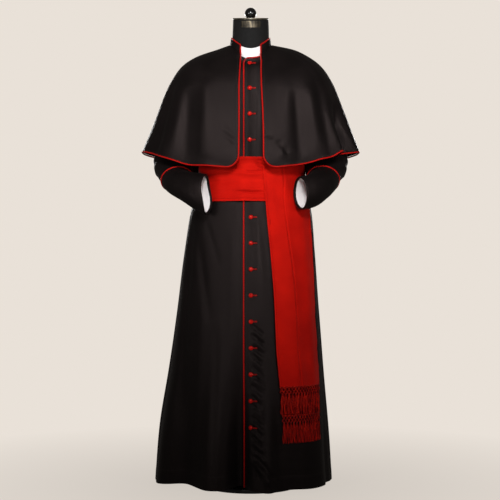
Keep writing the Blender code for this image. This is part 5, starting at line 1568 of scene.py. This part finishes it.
stand_coat = powder_coat()
bpy.ops.object.select_all(action="DESELECT")
middle = (0, 0, BASE_HEIGHT / 2)
bpy.ops.mesh.primitive_cylinder_add(vertices=96, radius=BASE_RADIUS, depth=BASE_HEIGHT, location=middle)
base = bpy.context.object
bpy.ops.object.transform_apply()
bpy.ops.object.mode_set(mode="EDIT")
pick_faces(base, lambda middle, normal: normal.z > 0.9)
bpy.ops.mesh.inset(thickness=0.010)
bpy.ops.mesh.inset(thickness=0.003)
bpy.ops.transform.translate(value=(0, 0, -0.0012))
bpy.ops.mesh.inset(thickness=0.120)
bpy.ops.mesh.inset(thickness=0.002)
bpy.ops.transform.translate(value=(0, 0, 0.0010))
bpy.ops.object.mode_set(mode="OBJECT")
edge = base.modifiers.new("edge", "BEVEL")
edge.width, edge.segments = 0.0018, 3
bpy.ops.object.modifier_apply(modifier=edge.name)
base.data.materials.append(stand_coat)
finish_hard(base, "stand_base_plate", "stand_base")

form_bottom = float(form_grid[..., 2].min())
pole_low, pole_high = BASE_HEIGHT + GAP, form_bottom - GAP
bpy.ops.object.select_all(action="DESELECT")
bpy.ops.mesh.primitive_cylinder_add(
    vertices=40, radius=POLE_RADIUS, depth=pole_high - pole_low, location=(0, 0, (pole_low + pole_high) / 2)
)
pole = bpy.context.object
bpy.ops.object.transform_apply()
bpy.ops.object.mode_set(mode="EDIT")
bpy.ops.mesh.select_all(action="SELECT")
bpy.ops.mesh.bisect(plane_co=(0, 0, 0.050), plane_no=(0, 0, 1))
bpy.ops.mesh.select_all(action="SELECT")
bpy.ops.mesh.bisect(plane_co=(0, 0, 0.600), plane_no=(0, 0, 1))
bpy.ops.mesh.select_all(action="SELECT")
bpy.ops.mesh.bisect(plane_co=(0, 0, 0.640), plane_no=(0, 0, 1))
pick_faces(pole, lambda middle, normal: abs(normal.z) < 0.5 and 0.600 < middle.z < 0.640)
bpy.ops.mesh.extrude_region_shrink_fatten(TRANSFORM_OT_shrink_fatten={"value": 0.004})
pick_faces(pole, lambda middle, normal: abs(normal.z) < 0.5 and middle.z < 0.050)
bpy.ops.mesh.extrude_region_shrink_fatten(TRANSFORM_OT_shrink_fatten={"value": 0.005})
bpy.ops.object.mode_set(mode="OBJECT")
edge = pole.modifiers.new("edge", "BEVEL")
edge.width, edge.segments = 0.0010, 2
bpy.ops.object.modifier_apply(modifier=edge.name)
pole.data.materials.append(stand_coat)
finish_hard(pole, "stand_pole_tube", "stand_pole")

# ---------------------------------------------------------------------------
# The studio: a pale floor that melts into a pale backdrop, soft boxes in front, and a camera at the height of the sash.

bpy.ops.mesh.primitive_circle_add(vertices=96, radius=14.0, fill_type="NGON")
floor = bpy.context.object
floor.name = "studio_floor"
BACKDROP = "#E9E1D8"
# How much light the backdrop and the floor give to the object, as a share of what the camera sees of them
ROOM_LIGHT, FLOOR_LIGHT = 0.12, 0.10
material, tree, shader = start_material("studio floor", 0.9)
shader.inputs["Base Color"].default_value = tint("#E4DBD1")
shader.inputs["Specular IOR Level"].default_value = 0.1
place = add(tree, "ShaderNodeTexCoord", {})
reach = add(tree, "ShaderNodeVectorMath", {0: place.outputs["Object"]}, operation="LENGTH")
fade = add(tree, "ShaderNodeMapRange", {0: reach.outputs["Value"], 1: 0.3, 2: 1.6, 3: 0.75, 4: 1.0})
seen = add(tree, "ShaderNodeLightPath", {})
level = add(tree, "ShaderNodeMapRange", {0: seen.outputs["Is Camera Ray"], 1: 0.0, 2: 1.0, 3: FLOOR_LIGHT, 4: 1.0})
glow = add(tree, "ShaderNodeEmission", {"Color": tint(BACKDROP), "Strength": level.outputs[0]})
blend = add(tree, "ShaderNodeMixShader", {0: fade.outputs[0], 1: shader.outputs[0], 2: glow.outputs[0]})
tree.links.new(blend.outputs[0], tree.nodes["Material Output"].inputs["Surface"])
floor.data.materials.append(material)

world = bpy.data.worlds.new("studio")
world.use_nodes = True
sky = world.node_tree.nodes["Background"]
sky.inputs["Color"].default_value = tint(BACKDROP)
seen = add(world.node_tree, "ShaderNodeLightPath", {})
share = {0: seen.outputs["Is Camera Ray"], 1: 0.0, 2: 1.0, 3: ROOM_LIGHT, 4: 1.0}
level = add(world.node_tree, "ShaderNodeMapRange", share)
world.node_tree.links.new(level.outputs[0], sky.inputs["Strength"])
bpy.context.scene.world = world
bpy.context.scene.view_settings.view_transform = "Standard"


def soft_box(name, place, aim, spread, power):
    """A soft light that faces the given height on the middle line and fades towards its edge."""
    light = bpy.data.lights.new(name, "SPOT")
    light.energy = power
    light.shadow_soft_size = 0.40
    light.spot_size = math.radians(spread)
    light.spot_blend = 1.0
    lamp = bpy.data.objects.new(name, light)
    lamp.location = place
    lamp.rotation_euler = (Vector((0, 0, aim)) - Vector(place)).to_track_quat("-Z", "Y").to_euler()
    bpy.context.scene.collection.objects.link(lamp)


soft_box("front_box", (0.1, -3.6, 2.35), 1.27, 26, 520)
soft_box("left_box", (-1.9, -2.7, 1.20), 1.05, 46, 110)
soft_box("right_box", (1.9, -2.7, 1.20), 1.05, 46, 100)
soft_box("left_back_box", (1.3, 3.2, 1.70), 1.15, 34, 110)
soft_box("right_back_box", (-1.3, 3.2, 1.70), 1.15, 34, 110)

camera = bpy.data.cameras.new("camera")
camera.lens, camera.sensor_width = 95.3, 36.0
eye = bpy.data.objects.new("camera", camera)
eye.location = (-0.002, -4.5, 0.800)
eye.rotation_euler = (math.pi / 2, 0.0, 0.0)
bpy.context.scene.collection.objects.link(eye)
bpy.context.scene.camera = eye
